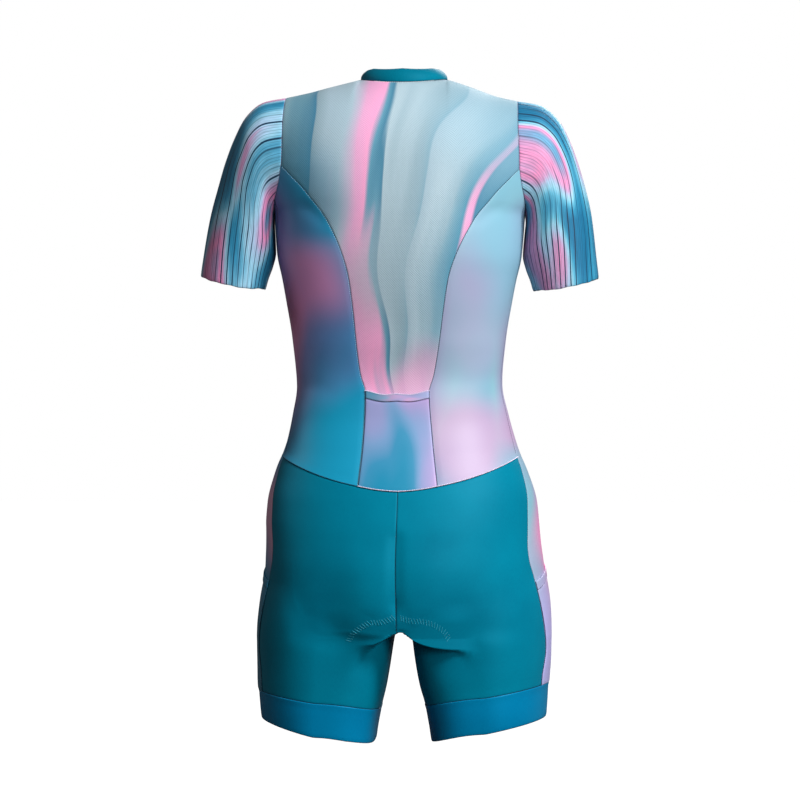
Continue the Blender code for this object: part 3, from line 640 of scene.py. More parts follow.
def torso_cut(seam, z):
    """Turn of a seam between the torso's panels: centre back, princess, side back, side front, zip."""
    if seam == 1:
        return turn_of(at(PRINCESS, "half", z), z)
    if seam == 4:
        return 180 - turn_of(ZIP_GAP / 2, z)
    return (0, None, 90 - at(SIDE_SEAMS, "back", z), 90 + at(SIDE_SEAMS, "front", z))[seam]


def waist_z(place):
    """Height of the waist seam at a station."""
    middle, side, power = WAIST_SEAM
    turn = np.interp(place, (0, 1, 2), (0, turn_of(PRINCESS_END_X, side), turn_of(WAIST_SIDE_X, side)))
    reach = trunk_point(side + 0 * turn, turn)[..., 0] / WAIST_SIDE_X
    return mix(middle, side, reach ** power)


def torso_row(share, place):
    """Row of the torso at a share of the way from the armpit to the waist seam."""
    def height(where):
        return mix(ARMPIT_Z, waist_z(where), share)

    turn = np.interp(place, range(5), [torso_cut(k, height(float(k))) for k in range(5)])
    sag = ARMPIT_SAG * max(0.0, 1 - share / SAG_SHARE) ** 2
    z = height(place) - sag * np.sin(np.pi * np.clip(place - 2, 0, 1))
    return trunk_point(z, turn)


def depth_at(x, middle, half, depth, power):
    """Depth of a rounded section at a distance from the centre plane."""
    inside = np.clip(1 - np.abs((x - middle) / half) ** (2 / power), 0, 1)
    return depth * inside ** (power / 2)


def fork_point(z, turn):
    """Point on the trunk where it turns into the legs, last of all at the centre seams."""
    trunk, leg = trunk_point(z, turn), leg_point(z, turn)
    z, turn = trunk[..., 2], np.broadcast_to(turn, trunk.shape[:-1])
    early, late = at(FORK, "side", z), at(FORK, "centre", z)
    x = mix(trunk[..., 0], leg[..., 0], early)
    drawn = mix(trunk[..., 1], leg[..., 1], early) * (1 + FORK_FULLNESS * 4 * early * (1 - early))
    rear = turn < 90
    depth = np.where(rear, at(TRUNK, "back", z), at(TRUNK, "front", z))
    of_trunk = depth_at(x, 0, at(TRUNK, "half", z), depth, ROUND)
    inner, outer = at(LEG, "inner", z), at(LEG, "outer", z)
    middle, half = (inner + outer) / 2, (outer - inner) / 2
    power = np.where(x < middle, at(LEG, "inside", z), 1.0)
    off = depth_at(x, middle, half, at(LEG, "depth", z), power)
    of_leg = at(LEG, "middle", z) + np.where(rear, off, -off)
    even = mix(of_trunk, of_leg, mix(late, early, fade(x, *FORK_REACH)))
    return np.stack([x, mix(drawn, even, fade(np.abs(turn - 90), *FORK_ARC)), z], axis=-1)


def hip_cut(seam, z):
    """Turn of a seam or station line of the shorts."""
    if seam == 1:
        top = torso_cut(1, PRINCESS_END_Z)
        return mix(top, PRINCESS_LAST, fade(z, PRINCESS_END_Z, PRINCESS_RUN))
    return (0, None, 90 - at(SIDE_SEAMS, "back", z), 90 + at(SIDE_SEAMS, "front", z), 180)[seam]


def hip_row(share, place):
    """Row of the shorts at a share of the way from the waist seam to the crotch."""
    slant = SIDE_POCKET_SLANT * fade(share, *SLANT_FADES[0]) * fade(share, *SLANT_FADES[1])

    def height(where):
        return mix(waist_z(where), CROTCH_Z, share) + slant * np.interp(where, (2, 3, 4), (0, 1, 0))

    turn = np.interp(place, range(5), [hip_cut(k, height(float(k))) for k in range(5)])
    return fork_point(height(place), turn)


def leg_row(inner_z, outer_z, place):
    """Row round a leg, tilted between its inner and outer ends."""
    middle = (inner_z + outer_z) / 2
    turn = np.interp(place, range(5), [hip_cut(k, middle) for k in range(5)])
    z = mix(outer_z, inner_z, (1 + np.cos(np.radians(2 * turn))) / 2)
    return leg_point(z, turn)


def armhole_turn(z):
    """Turn at which the armhole cuts the trunk's back."""
    return turn_of(at(ARMHOLE, "x", z), z)


def neck_point(around):
    """Point of the neckline: around runs from centre back (0) past the side (90) to centre front (180)."""
    side, end = np.sin(np.radians(around)), np.abs(np.cos(np.radians(around)))
    depth = np.where(around < 90, NECK_BACK_Y, NECK_FRONT_Y)
    drop = np.where(around < 90, NECK_BACK_Z, NECK_FRONT_Z)
    return np.stack([NECK_X * side, depth * end, drop * end ** NECK_CURVE], axis=-1)


def zip_turn():
    """Turn at which the neckline meets the zip."""
    return 180 - math.degrees(math.asin(ZIP_GAP / 2 / NECK_X))


def yoke_top(place, front):
    """End of a column at the neckline or the shoulder seam, from the centre (0) to the armhole (1)."""
    around = mix(zip_turn() if front else 0.0, 90.0, np.clip(place / NECK_PART, 0, 1))
    x = mix(NECK_X, SHOULDER_X, (place - NECK_PART) / (1 - NECK_PART))
    shoulder = np.stack([x, 0 * x, at(SHOULDER, "z", x)], axis=-1)
    return np.where((place < NECK_PART)[:, None], neck_point(around), shoulder)


def yoke_row(rise, place, front=False):
    """Row over the shoulder, from the yoke line (0) to the neckline and the shoulder seam (1)."""
    edge = armhole_turn(YOKE_Z)
    turn = mix(180 - turn_of(ZIP_GAP / 2, YOKE_Z), 180 - edge, place) if front else edge * place
    base, top = trunk_point(YOKE_Z, turn), yoke_top(place, front)
    lean = (base - trunk_point(YOKE_Z - 1, turn))[:, 1]
    centre = THROAT_TURN if front else NAPE_TURN
    end = np.radians(mix(centre, 90.0, np.clip(place / NECK_PART, 0, 1) ** YOKE_EASE))
    lift = np.sin(rise * end) / np.sin(end)
    reach = (np.cos(rise * end) - np.cos(end)) / (1 - np.cos(end))
    x = mix(base[:, 0], top[:, 0], lift)
    z = mix(base[:, 2], top[:, 2], lift)
    y = mix(top[:, 1], base[:, 1], reach) + lean * (top[:, 2] - base[:, 2]) * lift * (1 - lift) ** 2
    return np.stack([x, y, z], axis=-1)


def chest_row(z, place):
    """Row between the yoke line and the armpit, over the back (places 0 to 2) or the front (3 to 4)."""
    cuts = [0, torso_cut(1, z), armhole_turn(z), 180 - armhole_turn(z), torso_cut(4, z)]
    return trunk_point(z + 0 * place, np.interp(place, range(5), cuts))


def collar_point(around, rise):
    """Point of the collar, from the neckline (0) to its top edge (1)."""
    side, end = np.sin(np.radians(around)), np.abs(np.cos(np.radians(around)))
    behind = around < 90
    depth = np.where(behind, COLLAR_BACK[0], COLLAR_FRONT[0])
    edge = np.where(behind, COLLAR_BACK[1], COLLAR_FRONT[1])
    x = np.where(behind, COLLAR_X * side, np.maximum(COLLAR_X * side, ZIP_GAP / 2))
    drop = COLLAR_DROP * fade(np.abs(x), *COLLAR_DROP_X) + COLLAR_TILT * x * end * behind
    top = np.stack([x, depth * end, mix(COLLAR_SIDE_Z, edge, end ** NECK_CURVE) - drop], axis=-1)
    lean = rise ** COLLAR_LEAN
    return mix(neck_point(around), top, np.stack([lean, lean, rise + 0 * lean], axis=-1))


def mirrored(rows):
    """Rows of the right half from those of the left."""
    return [row[::-1] * (-1, 1, 1) for row in rows]


def across(rows):
    """Rows of both halves joined at the centre line."""
    return [np.concatenate([other[:-1], row]) for row, other in zip(rows, mirrored(rows))]


def on_side(rows, side):
    """Rows of the left (1) or the right (-1), from those of the left."""
    return rows if side > 0 else mirrored(rows)


# Cloth -----------------------------------------------------------------------------------------------------


def outward(grid, closed):
    """Normals of a grid of points."""
    down = np.gradient(grid, axis=0)
    side = np.roll(grid, -1, axis=1) - np.roll(grid, 1, axis=1) if closed else np.gradient(grid, axis=1)
    normal = np.cross(side, down)
    length = np.linalg.norm(normal, axis=-1, keepdims=True)
    return normal / np.maximum(length, TINY)


def inset(edge, inner, reach):
    """Points moved in from an edge, by at most a little under half of the way to the next points."""
    gap = np.linalg.norm(inner - edge, axis=-1, keepdims=True)
    return edge + (inner - edge) * np.minimum(reach, INSET_LIMIT * gap) / np.maximum(gap, TINY)


def edged(grid, closed, proud):
    """Grid with a second line of points close inside each edge, and how far each point dips at its seam.

    Edges named in proud lie on top of their neighbour instead. A closed grid has no side edges.
    """
    first, last = inset(grid[0], grid[1], GAP), inset(grid[-1], grid[-2], GAP)
    near, far = inset(grid[0], grid[1], EDGE), inset(grid[-1], grid[-2], EDGE)
    grid = np.concatenate([first[None], near[None], grid[1:-1], far[None], last[None]])
    if not closed:
        sides = [inset(grid[:, 0], grid[:, 1], reach) for reach in (GAP, EDGE)]
        sides += [inset(grid[:, -1], grid[:, -2], reach) for reach in (EDGE, GAP)]
        sides = [line[:, None] for line in sides]
        grid = np.concatenate([*sides[:2], grid[:, 1:-1], *sides[2:]], axis=1)
    dips = np.zeros(grid.shape[:2])
    if not closed:
        dips[:, [1, -2]] = NEAR_DIP
        dips[:, [0, -1]] = EDGE_DIP
    dips[[1, -2]] = np.maximum(dips[[1, -2]], NEAR_DIP)
    dips[[0, -1]] = EDGE_DIP
    for edge, at_edge, near_it in (("top", 0, 1), ("bottom", -1, -2)):
        if edge in proud:
            dips[at_edge], dips[near_it] = -PROUD, -PROUD
    return grid, dips


def creases(grid):
    """Depth of the soft troughs (and, below zero, ridges) pressed into the cloth at each point."""
    depth = np.zeros(grid.shape[:2])
    for face, x0, z0, x1, z1, deep, spread in zip(*CREASES.values()):
        start, run = np.array([x0, z0]), np.array([x1 - x0, z1 - z0])
        flat = grid[..., [0, 2]]
        along = ((flat - start) @ run) / (run @ run)
        nearest = start + np.clip(along, 0, 1)[..., None] * run
        away = np.linalg.norm(flat - nearest, axis=-1)
        ends = fade(np.abs(along - 0.5), *CREASE_END)
        depth += deep * ends * bell(away, 0, spread) * fade(face * grid[..., 1], *CREASE_FACE)
    return depth


def settled(grid):
    """Points moved as the suit hangs on its wearer: all the small shifts that its two halves don't share."""
    grid = np.array(grid, float)
    x, y, z = grid[..., 0], grid[..., 1], grid[..., 2]
    rear, front = fade(y, *REAR), fade(y, *FRONT)
    aside = at(LEAN, "x", z) - at(TURN, "share", z) * np.maximum(y, 0)
    amount, by_side, by_height = NECK_SHIFT
    aside = aside - amount * rear * fade(np.abs(x), *by_side) * fade(z, *by_height)
    amount, by_side, by_height = SLEEVE_PUFF
    aside = aside - amount * fade(x, *by_side) * bell(z, *by_height)
    aside = aside + np.interp(z, HIP_REACH["z"], HIP_REACH["x"]) * fade(x, *HIP_REACH_X)
    amount, by_side, by_height = SUNK
    up = -amount * fade(x, *by_side) * fade(z, *by_height)
    arch = bell(x, mix(*ARCH_X, front), mix(*ARCH_WIDTH, front))
    up = up + mix(*ARCH_RISE, front) * arch * fade(z, *ARCH_Z)
    outer = np.interp(-x, BAND_SPAN, (0, 1))
    top = bell(z, mix(*BAND_ROWS[0], outer), BAND_RISE_WIDTH)
    up = up + mix(*BAND_RISE, outer) * fade(x, *BAND_RISE_X) * top
    up = up + np.interp(x, HEM_RISE["x"], HEM_RISE["z"]) * fade(z, *HEM_RISE_Z)
    amount, by_side, by_height = POCKET_SAG
    up = up - amount * rear * fade(np.abs(x), *by_side) * bell(z, *by_height)
    return grid + np.stack([aside, 0 * x, up], axis=-1)


def underfold(grid):
    """Depth to which the cloth of the thighs tucks in below the folds of the seat."""
    x, y, z = grid[..., 0], grid[..., 1], grid[..., 2]
    seat = depth_at(np.abs(x), 0, at(TRUNK, "half", z), at(TRUNK, "back", z), ROUND)
    depth = np.zeros(x.shape)
    for fold, side, deep, fall in FOLDS:
        start, end = fold["x"][0], fold["x"][-1]
        own = side * x > 0
        below = at(fold, "z", side * x) - z
        left = np.clip(1 - (side * x - start) / (end - start), 0, 1)
        tuck = fade(below, -FOLD_EDGE, 2 * FOLD_EDGE) * bell(np.maximum(below, 0), 0, fall * left + FOLD_TAIL)
        depth += deep * tuck * left ** FOLD_POWER * fade(y, *FOLD_REAR) * own
        beyond = side * x - end
        soft = 2 * FOLD_EDGE + LIP_SPREAD * fade(beyond, *LIP_SPREAD_X)
        lip = fade(below, soft - FOLD_EDGE, -soft) * fade(beyond, *LIP_X) * fade(z, *LIP_Z)
        depth -= np.maximum(seat - y, 0) * lip * fade(y / np.maximum(seat, 1), *LIP_REAR) * own
    return depth


def dressed(rows, closed=False, lift=0.0, proud=(), joined=()):
    """Points and normals of a panel's outer face, with creases pressed in and edges sunk at the seams.

    Joined gives an edge column, how many of its rows and which side: they meet the other leg at the centre.
    """
    grid, dips = edged(np.array(rows), closed, proud)
    normal = outward(grid, closed)
    grid = grid + normal * (lift - creases(grid) - dips)[..., None]
    grid[..., 1] -= underfold(grid)
    if joined:
        column, count, side = joined
        grid[:count, column, 0] = CENTRE_SEAM_X * side
    grid = settled(grid)
    return grid, outward(grid, closed)


def cloth_mesh(name, grid, closed):
    """Mesh of a grid, with the UV map "Cloth" in metres along its rows and down its columns."""
    rows, columns = grid.shape[:2]
    wrap = columns if closed else columns - 1
    r, c = np.meshgrid(np.arange(rows - 1), np.arange(wrap), indexing="ij")
    r, c = r.ravel(), c.ravel()
    corners = np.stack([r * columns + c, r * columns + (c + 1) % columns], axis=1)
    faces = np.concatenate([corners, corners[:, ::-1] + columns], axis=1)
    mesh = bpy.data.meshes.new(name)
    mesh.from_pydata((grid.reshape(-1, 3) * MM).tolist(), [], faces.tolist())
    mesh.polygons.foreach_set("use_smooth", [True] * len(faces))
    ring = np.concatenate([grid, grid[:, :1]], axis=1) if closed else grid
    across_steps = np.linalg.norm(np.diff(ring, axis=1), axis=-1)
    if closed:
        even = across_steps.mean(0)
        even *= GROOVE * round(even.sum() / GROOVE) / even.sum()
        across_steps = np.broadcast_to(even, across_steps.shape)
    u = np.concatenate([np.zeros((rows, 1)), np.cumsum(across_steps, axis=1)], axis=1)
    u = u - (0 if closed else u[:, u.shape[1] // 2][:, None])
    down_steps = np.linalg.norm(np.diff(grid, axis=0), axis=-1).mean(1)
    v = np.concatenate([[0], np.cumsum(down_steps)])
    layer = mesh.uv_layers.new(name="Cloth")
    places_u = np.stack([u[r, c], u[r, c + 1], u[r + 1, c + 1], u[r + 1, c]], axis=1)
    places_v = np.stack([v[r], v[r], v[r + 1], v[r + 1]], axis=1)
    layer.data.foreach_set("uv", (np.stack([places_u, -places_v], axis=-1) * MM).ravel())
    return mesh


def shown(name, mesh):
    """Object of a mesh, in the scene."""
    made = bpy.data.objects.new(name, mesh)
    bpy.context.scene.collection.objects.link(made)
    return made


def thickened(made, title, wall):
    """Wall of a piece of cloth, grown inwards from its outer face."""
    shell = made.modifiers.new(title, "SOLIDIFY")
    shell.thickness = wall * MM
    shell.offset = -1
    return shell


def panel(name, rows, look, closed=False, lift=0.0, wall=WALL, reverse=None, proud=(), joined=()):
    """Cloth panel that stands for its node of the frame; its outer face's points are kept for the seams."""
    grid, normal = dressed(rows, closed, lift, proud, joined)
    FACES[name] = (grid, normal)
    mesh = cloth_mesh(name, grid, closed)
    mesh.materials.append(look)
    made = shown(f"{name}_cloth", mesh)
    shell = thickened(made, "Cloth thickness", wall)
    if reverse:
        mesh.materials.append(reverse)
        shell.material_offset = 1
    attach(made, "suit")
    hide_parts(name)


def spaced(length):
    """Shares from 0 to 1 whose rows are about a step apart over a length."""
    return np.linspace(0, 1, round(length / STEP) + 1)


def chest_heights(first):
    """Heights of rows between the yoke line and the armpit, from a first one down."""
    return np.arange(first, ARMPIT_Z + ARMPIT_CLEAR, -STEP)


def torso_rows(place):
    """Rows from the armpit to the waist seam."""
    return [torso_row(share, place) for share in spaced(TORSO_LENGTH)]


def yoke_rows(place, front=False):
    """Rows over the shoulder and down to the armpit."""
    rows = [yoke_row(rise, place, front) for rise in spaced(YOKE_LENGTH)[::-1]]
    down = 4 - place if front else place
    return rows + [chest_row(z, down) for z in chest_heights(YOKE_Z - STEP)]


def hip_rows(place, skip=0):
    """Rows from the waist seam to the crotch, closed at the centre seam."""
    rows = [hip_row(share, place) for share in spaced(HIP_LENGTH)[skip:]]
    for row in rows:
        row[(place == 0) | (place == 4), 0] = CENTRE_X
    return rows


def finer(rows, first=0, last=None):
    """Rows with one more between each two from the first to the last, on cubic lines down the cloth."""
    grid = np.array(rows)
    padded = np.concatenate([2 * grid[:1] - grid[1:2], grid, 2 * grid[-1:] - grid[-2:-1]])
    between_them = (9 * (padded[1:-2] + padded[2:-1]) - padded[:-3] - padded[3:]) / 16
    places = np.arange(first, min(last or len(grid), len(grid) - 1))
    return list(np.insert(grid, places + 1, between_them[places], axis=0))


def eased(rows, middle, inner=EASED_INNER):
    """Rows smoothed down the cloth round one of them, beyond a distance from the centre plane."""
    grid = np.array(rows)
    away = fade(np.abs(grid[middle, :, 0]), inner, EASED_WIDTH)
    near = fade(np.abs(np.arange(1, len(grid) - 1) - middle), *EASED_ROWS)
    for _ in range(EASED_ROUNDS):
        softer = (grid[:-2] + 2 * grid[1:-1] + grid[2:]) / 4
        grid[1:-1] += (softer - grid[1:-1]) * (near[:, None] * away)[..., None]
    return list(grid)


def tilted_rows(ends, steps, place):
    """Rows round a leg at steps between those listed by the heights of their inner and outer ends."""
    index = range(len(ends))
    inner, outer = (np.interp(steps, index, heights) for heights in zip(*ends))
    return [leg_row(*heights, place) for heights in zip(inner, outer)]


def leg_rows(place):
    """Rows round a leg from below the crotch to the band."""
    last = len(LEG_ROWS) - 1
    return tilted_rows(LEG_ROWS, np.linspace(0, last, LEG_FINENESS * last + 1)[1:], place)


def band_rows(place):
    """Rows round the leg band."""
    return tilted_rows(BAND_ROWS, np.linspace(0, len(BAND_ROWS) - 1, BAND_LINES), place)


def armhole_ring():
    """Points round the left armhole, from the shoulder down the back and up the front."""
    edge = np.array([1.0])
    rises, heights = spaced(YOKE_LENGTH), chest_heights(YOKE_Z - STEP)
    behind = [yoke_row(rise, edge)[0] for rise in rises[::-1]]
    behind += [chest_row(z, np.array([2.0]))[0] for z in heights]
    before = [chest_row(z, np.array([3.0]))[0] for z in heights[::-1]]
    before += [yoke_row(rise, edge, front=True)[0] for rise in rises]
    return np.array(behind + list(torso_row(0, np.linspace(2, 3, SLEEVE_PIT_COLUMNS + 1))) + before[:-1])


def sleeve_row(share, hole, around):
    """Ring of the left sleeve: an oval that takes the armhole's own form at its top."""
    def oval(where):
        outer, inner = (np.array([at(SLEEVE, f"{edge}_x", where), 0, at(SLEEVE, f"{edge}_z", where)])
                        for edge in ("outer", "inner"))
        spread = np.cos(around)[:, None] * (outer - inner) / 2
        depth = np.sin(around)[:, None] * np.array([0, at(SLEEVE, "depth", where), 0])
        return (outer + inner) / 2 + spread + depth

    left_over = (hole - oval(0.0)) * max(0.0, 1 - share / HOLE_SHARE) ** 2
    return oval(share) + left_over


def sleeve_rows():
    """Rings of the left sleeve from armhole to cuff; the raw cuff waves a little."""
    hole = armhole_ring()
    steps = np.linalg.norm(np.roll(hole, -1, axis=0) - hole, axis=1)
    around = 2 * np.pi * np.concatenate([[0], np.cumsum(steps)[:-1]]) / steps.sum()
    rings = [sleeve_row(share, hole, around) for share in spaced(SLEEVE_LENGTH)]
    wave = sum(deep * np.sin(number * around + phase) for deep, number, phase in CUFF_WAVES)
    for ring, weight in zip(rings[-CUFF_ROWS:], smooth(np.linspace(1 / CUFF_ROWS, 1, CUFF_ROWS))):
        depth = ring[:, 1] / at(SLEEVE, "depth", 1.0)
        ring[:, 2] += weight * (wave - CUFF_DROP * np.maximum(depth, 0) ** 2)
        ring[:, 0] += weight ** 3 * CUFF_FLARE * np.cos(around)
    return [ring[::-1] for ring in rings]


def between(row_at, first, last, count, place, level=0.0):
    """Rows of a panel between two of its shares, with the first of them drawn level at the centre."""
    shares = np.linspace(first, last, count)
    rows = [row_at(share, place) for share in shares]
    for row, share in zip(rows, shares):
        row[:, 2] += level * (1 - share) / (1 - first) * (1 - place) ** 2
    return rows


def dress_backs(finishes):
    """Centre back and the two side backs."""
    plain = {"reverse": finishes["reverse"], "proud": ("bottom",)}
    place = np.linspace(0, 1, BACK_COLUMNS)
    panel("back_centre", across(yoke_rows(place) + torso_rows(place)), finishes["mesh"], **plain)
    place = np.linspace(1, 2, SIDE_BACK_COLUMNS)
    heights = [YOKE_Z - inside for inside in POINT_ROWS] + list(chest_heights(YOKE_Z - 2 * POINT_ROWS[-1]))
    rows = [chest_row(z, place) for z in heights] + torso_rows(place)
    for word, side in SIDES:
        panel(f"back_side_{word}", on_side(rows, side), finishes[f"side_{word}"], **plain)


def dress_fronts(finishes):
    """The two fronts."""
    over = np.linspace(1, 0, BACK_COLUMNS)
    rows = yoke_rows(over, front=True) + torso_rows(4 - over)
    for word, side in SIDES:
        panel(f"front_{word}", on_side(rows, side), finishes["mesh"], reverse=finishes["reverse"],
              proud=("bottom",))


def dress_sides(finishes):
    """The two side panels."""
    place = np.linspace(2, 3, SIDE_COLUMNS)
    upper = torso_rows(place) + hip_rows(place, 1)
    rows = eased(upper + leg_rows(place), len(upper) - 1)
    for word, side in SIDES:
        panel(f"side_{word}", on_side(rows, side), finishes[f"side_{word}"], reverse=finishes["reverse"])


def dress_legs(finishes):
    """The shorts and the leg bands."""
    back, front = np.linspace(0, 2, LEG_BACK_COLUMNS), np.linspace(3, 4, LEG_FRONT_COLUMNS)
    around = np.concatenate([back, np.linspace(2, 3, BAND_SIDE_COLUMNS)[1:], front[1:]])[:-1]
    for word, side in SIDES:
        for name, place, centre in (("back", back, 0), ("front", front, -1)):
            hip = hip_rows(place)
            rows = eased(hip + leg_rows(place), len(hip) - 1, EASED_FROM[name])
            if name == "back":
                crotch_row = 2 * len(hip)
                rows = finer(finer(rows), crotch_row - FINE_ROWS[0], crotch_row + FINE_ROWS[1])
            seam_rows = 1 + sum(row[centre, 2] > CROTCH_Z - CROTCH_NEAR for row in rows)
            column = centre if side > 0 else -1 - centre
            joined = (column, seam_rows, side)
            panel(f"leg_{name}_{word}", on_side(rows, side), finishes["shorts"], joined=joined)
        rows = on_side(band_rows(around), side)
        panel(f"leg_band_{word}", rows, finishes["band"], closed=True, proud=("top",))


def dress_sleeves(finishes):
    """The two sleeves."""
    rows = sleeve_rows()
    for word, side in SIDES:
        panel(f"sleeve_{word}", on_side(rows, side), finishes[f"sleeve_{word}"], closed=True)


def dress_collar(finishes):
    """Stand collar, open at the front."""
    behind, before = COLLAR_COLUMNS
    around = np.concatenate([np.linspace(0, 90, behind), np.linspace(90, zip_turn(), before)[1:]])
    rows = across([collar_point(around, rise) for rise in np.linspace(1, 0, COLLAR_LINES)])
    panel("collar", rows, finishes["collar"], wall=COLLAR_WALL)


def dress_pockets(finishes):
    """Pockets laid on the back and the side panels, each with its bound top."""
    place = np.linspace(0, 1, POCKET_COLUMNS)
    patch = across(between(torso_row, BACK_POCKET_BOUND, 1, BACK_POCKET_LINES, place, BACK_POCKET_LEVEL))
    strip = across(between(torso_row, BACK_POCKET_TOP, BACK_POCKET_BOUND, BACK_BINDING_LINES, place,
                           BACK_BINDING_LEVEL))
    panel("back_pocket", patch, finishes["pocket"], **PATCH)
    panel("back_pocket_binding", strip, finishes["binding"], **BOUND)
    place = np.linspace(2, 3, POCKET_COLUMNS)
    patch = between(hip_row, SIDE_POCKET_BOUND, 1, SIDE_POCKET_LINES, place) + leg_rows(place)
    strip = between(hip_row, SIDE_POCKET_TOP, SIDE_POCKET_BOUND, SIDE_BINDING_LINES, place)
    for word, side in SIDES:
        panel(f"side_pocket_{word}", on_side(patch, side), finishes[f"side_{word}"], **PATCH)
        panel(f"side_pocket_binding_{word}", on_side(strip, side), finishes[f"side_{word}"], **BOUND)


# Zip -------------------------------------------------------------------------------------------------------


def zip_path():
    """Centre line of the zip from the collar's top to the waist seam, as rows of y and z."""
    over, centre = np.array([1.0, 0.0]), np.array([4.0])
    rows = [collar_point(np.array([zip_turn()]), rise)[0] for rise in (1, 0.5)]
    rows += [yoke_row(rise, over, front=True)[1] for rise in np.linspace(1, 0, TAPE_YOKE_ROWS)]
    rows += [chest_row(z, centre)[0] for z in CHEST_Z]
    rows += [torso_row(share, centre)[0] for share in TAPE_SHARES]
    path = np.array(rows)[:, 1:]
    run = np.concatenate([[0], np.cumsum(np.linalg.norm(np.diff(path, axis=0), axis=1))])
    fine = np.linspace(0, run[-1], int(run[-1] / ZIP_STEP))
    return np.stack([np.interp(fine, run, path[:, k]) for k in (0, 1)], axis=1)


def dress_zip(finishes):
    """Woven tape under the coil; the teeth are laid on it as a repeated piece."""
    path = zip_path()
    down = np.gradient(path, axis=0)
    down /= np.linalg.norm(down, axis=1, keepdims=True)
    out = np.stack([down[:, 1], -down[:, 0]], axis=1)
    aside = np.linspace(TAPE_HALF, -TAPE_HALF, TAPE_COLUMNS)
    crown = TAPE_CROWN[0] * bell(aside, 0, TAPE_CROWN[1])
    frames = list(zip(path, out))
    rows = [[(x, *(point + lift * normal)) for x, lift in zip(aside, crown)] for point, normal in frames]
    mesh = cloth_mesh("zip", settled(rows), False)
    mesh.materials.append(finishes["zip_tape"])
    tape = shown("zip_tape", mesh)
    thickened(tape, "Tape thickness", TAPE_WALL)
    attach(tape, "suit")
    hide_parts("zip")
    for word, side in reversed(SIDES):
        line = [(side * COIL_PLACE, *(point + COIL_PLACE * normal)) for point, normal in frames]
        repeated(f"zip_coil_{word}", [(settled(line), False)], finishes["zip_coil"], *COIL)


# Thread ----------------------------------------------------------------------------------------------------


def stitch_tree():
    """Geometry Nodes tree that lays one small rounded piece after another along the edges of a mesh."""
    tree = bpy.data.node_groups.new(STITCHES, "GeometryNodeTree")
    face = tree.interface
    face.new_socket("Geometry", in_out="INPUT", socket_type="NodeSocketGeometry")
    for name in ("Pitch", "Length", "Width"):
        face.new_socket(name, in_out="INPUT", socket_type="NodeSocketFloat")
    face.new_socket("Thread", in_out="INPUT", socket_type="NodeSocketMaterial")
    face.new_socket("Geometry", in_out="OUTPUT", socket_type="NodeSocketGeometry")
    given = add(tree, "NodeGroupInput").outputs
    curve = add(tree, "GeometryNodeMeshToCurve", {"Mesh": given["Geometry"]}).outputs[0]
    even = add(tree, "GeometryNodeResampleCurve", {"Curve": curve, "Length": given["Pitch"]}, mode="LENGTH")
    tangent = add(tree, "GeometryNodeInputTangent").outputs[0]
    turn = add(tree, "FunctionNodeAlignEulerToVector", {"Vector": tangent}, axis="X").outputs[0]
    bead = add(tree, "GeometryNodeMeshIcoSphere", {"Radius": 0.5, "Subdivisions": 1}).outputs[0]
    size = combined(tree, given["Length"], given["Width"], given["Width"])
    laid = add(tree, "GeometryNodeInstanceOnPoints",
               {"Points": even.outputs[0], "Instance": bead, "Rotation": turn, "Scale": size}).outputs[0]
    real = add(tree, "GeometryNodeRealizeInstances", {"Geometry": laid}).outputs[0]
    soft = add(tree, "GeometryNodeSetShadeSmooth", {0: real}).outputs[0]
    ready = add(tree, "GeometryNodeSetMaterial", {"Geometry": soft, "Material": given["Thread"]}).outputs[0]
    add(tree, "NodeGroupOutput", {"Geometry": ready})


def repeated(name, lines, look, pitch, long, wide, slot):
    """Piece made of one small shape laid along lines, each given as its points and whether it closes."""
    points, edges = [], []
    for line, closed in lines:
        start, count = len(points), len(line)
        points += [tuple(float(n) * MM for n in point) for point in line]
        edges += [(start + k, start + k + 1) for k in range(count - 1)]
        if closed:
            edges.append((start + count - 1, start))
    mesh = bpy.data.meshes.new(name)
    mesh.from_pydata(points, edges, [])
    guide = shown(f"{name}_guide", mesh)
    rows = guide.modifiers.new("Stitches", "NODES")
    rows.node_group = bpy.data.node_groups[STITCHES]
    sizes = {"Pitch": pitch * MM, "Length": long * MM, "Width": wide * MM, "Thread": look}
    for socket in rows.node_group.interface.items_tree:
        if socket.in_out == "INPUT" and socket.name in sizes:
            rows[socket.identifier] = sizes[socket.name]
    evaluated = guide.evaluated_get(bpy.context.evaluated_depsgraph_get())
    made = shown(name, bpy.data.meshes.new_from_object(evaluated))
    bpy.data.objects.remove(guide)
    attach(made, "suit")


def seam_line(name, edge, reach, rise):
    """Line on a dressed panel at a distance inside one of its edges, a little proud of the cloth."""
    grid, normal = FACES[name]
    if edge in ("first", "last"):
        grid, normal = grid.transpose(1, 0, 2), normal.transpose(1, 0, 2)
    if edge in ("last", "bottom"):
        grid, normal = grid[::-1], normal[::-1]
    steps = np.linalg.norm(np.diff(grid, axis=0), axis=-1)
    run = np.concatenate([np.zeros((1, steps.shape[1])), np.cumsum(steps, axis=0)])
    raised = grid + normal * rise
    return np.array([
        [np.interp(reach, run[:, k], raised[:, k, n]) for n in range(3)]
        for k in range(grid.shape[1])
    ])


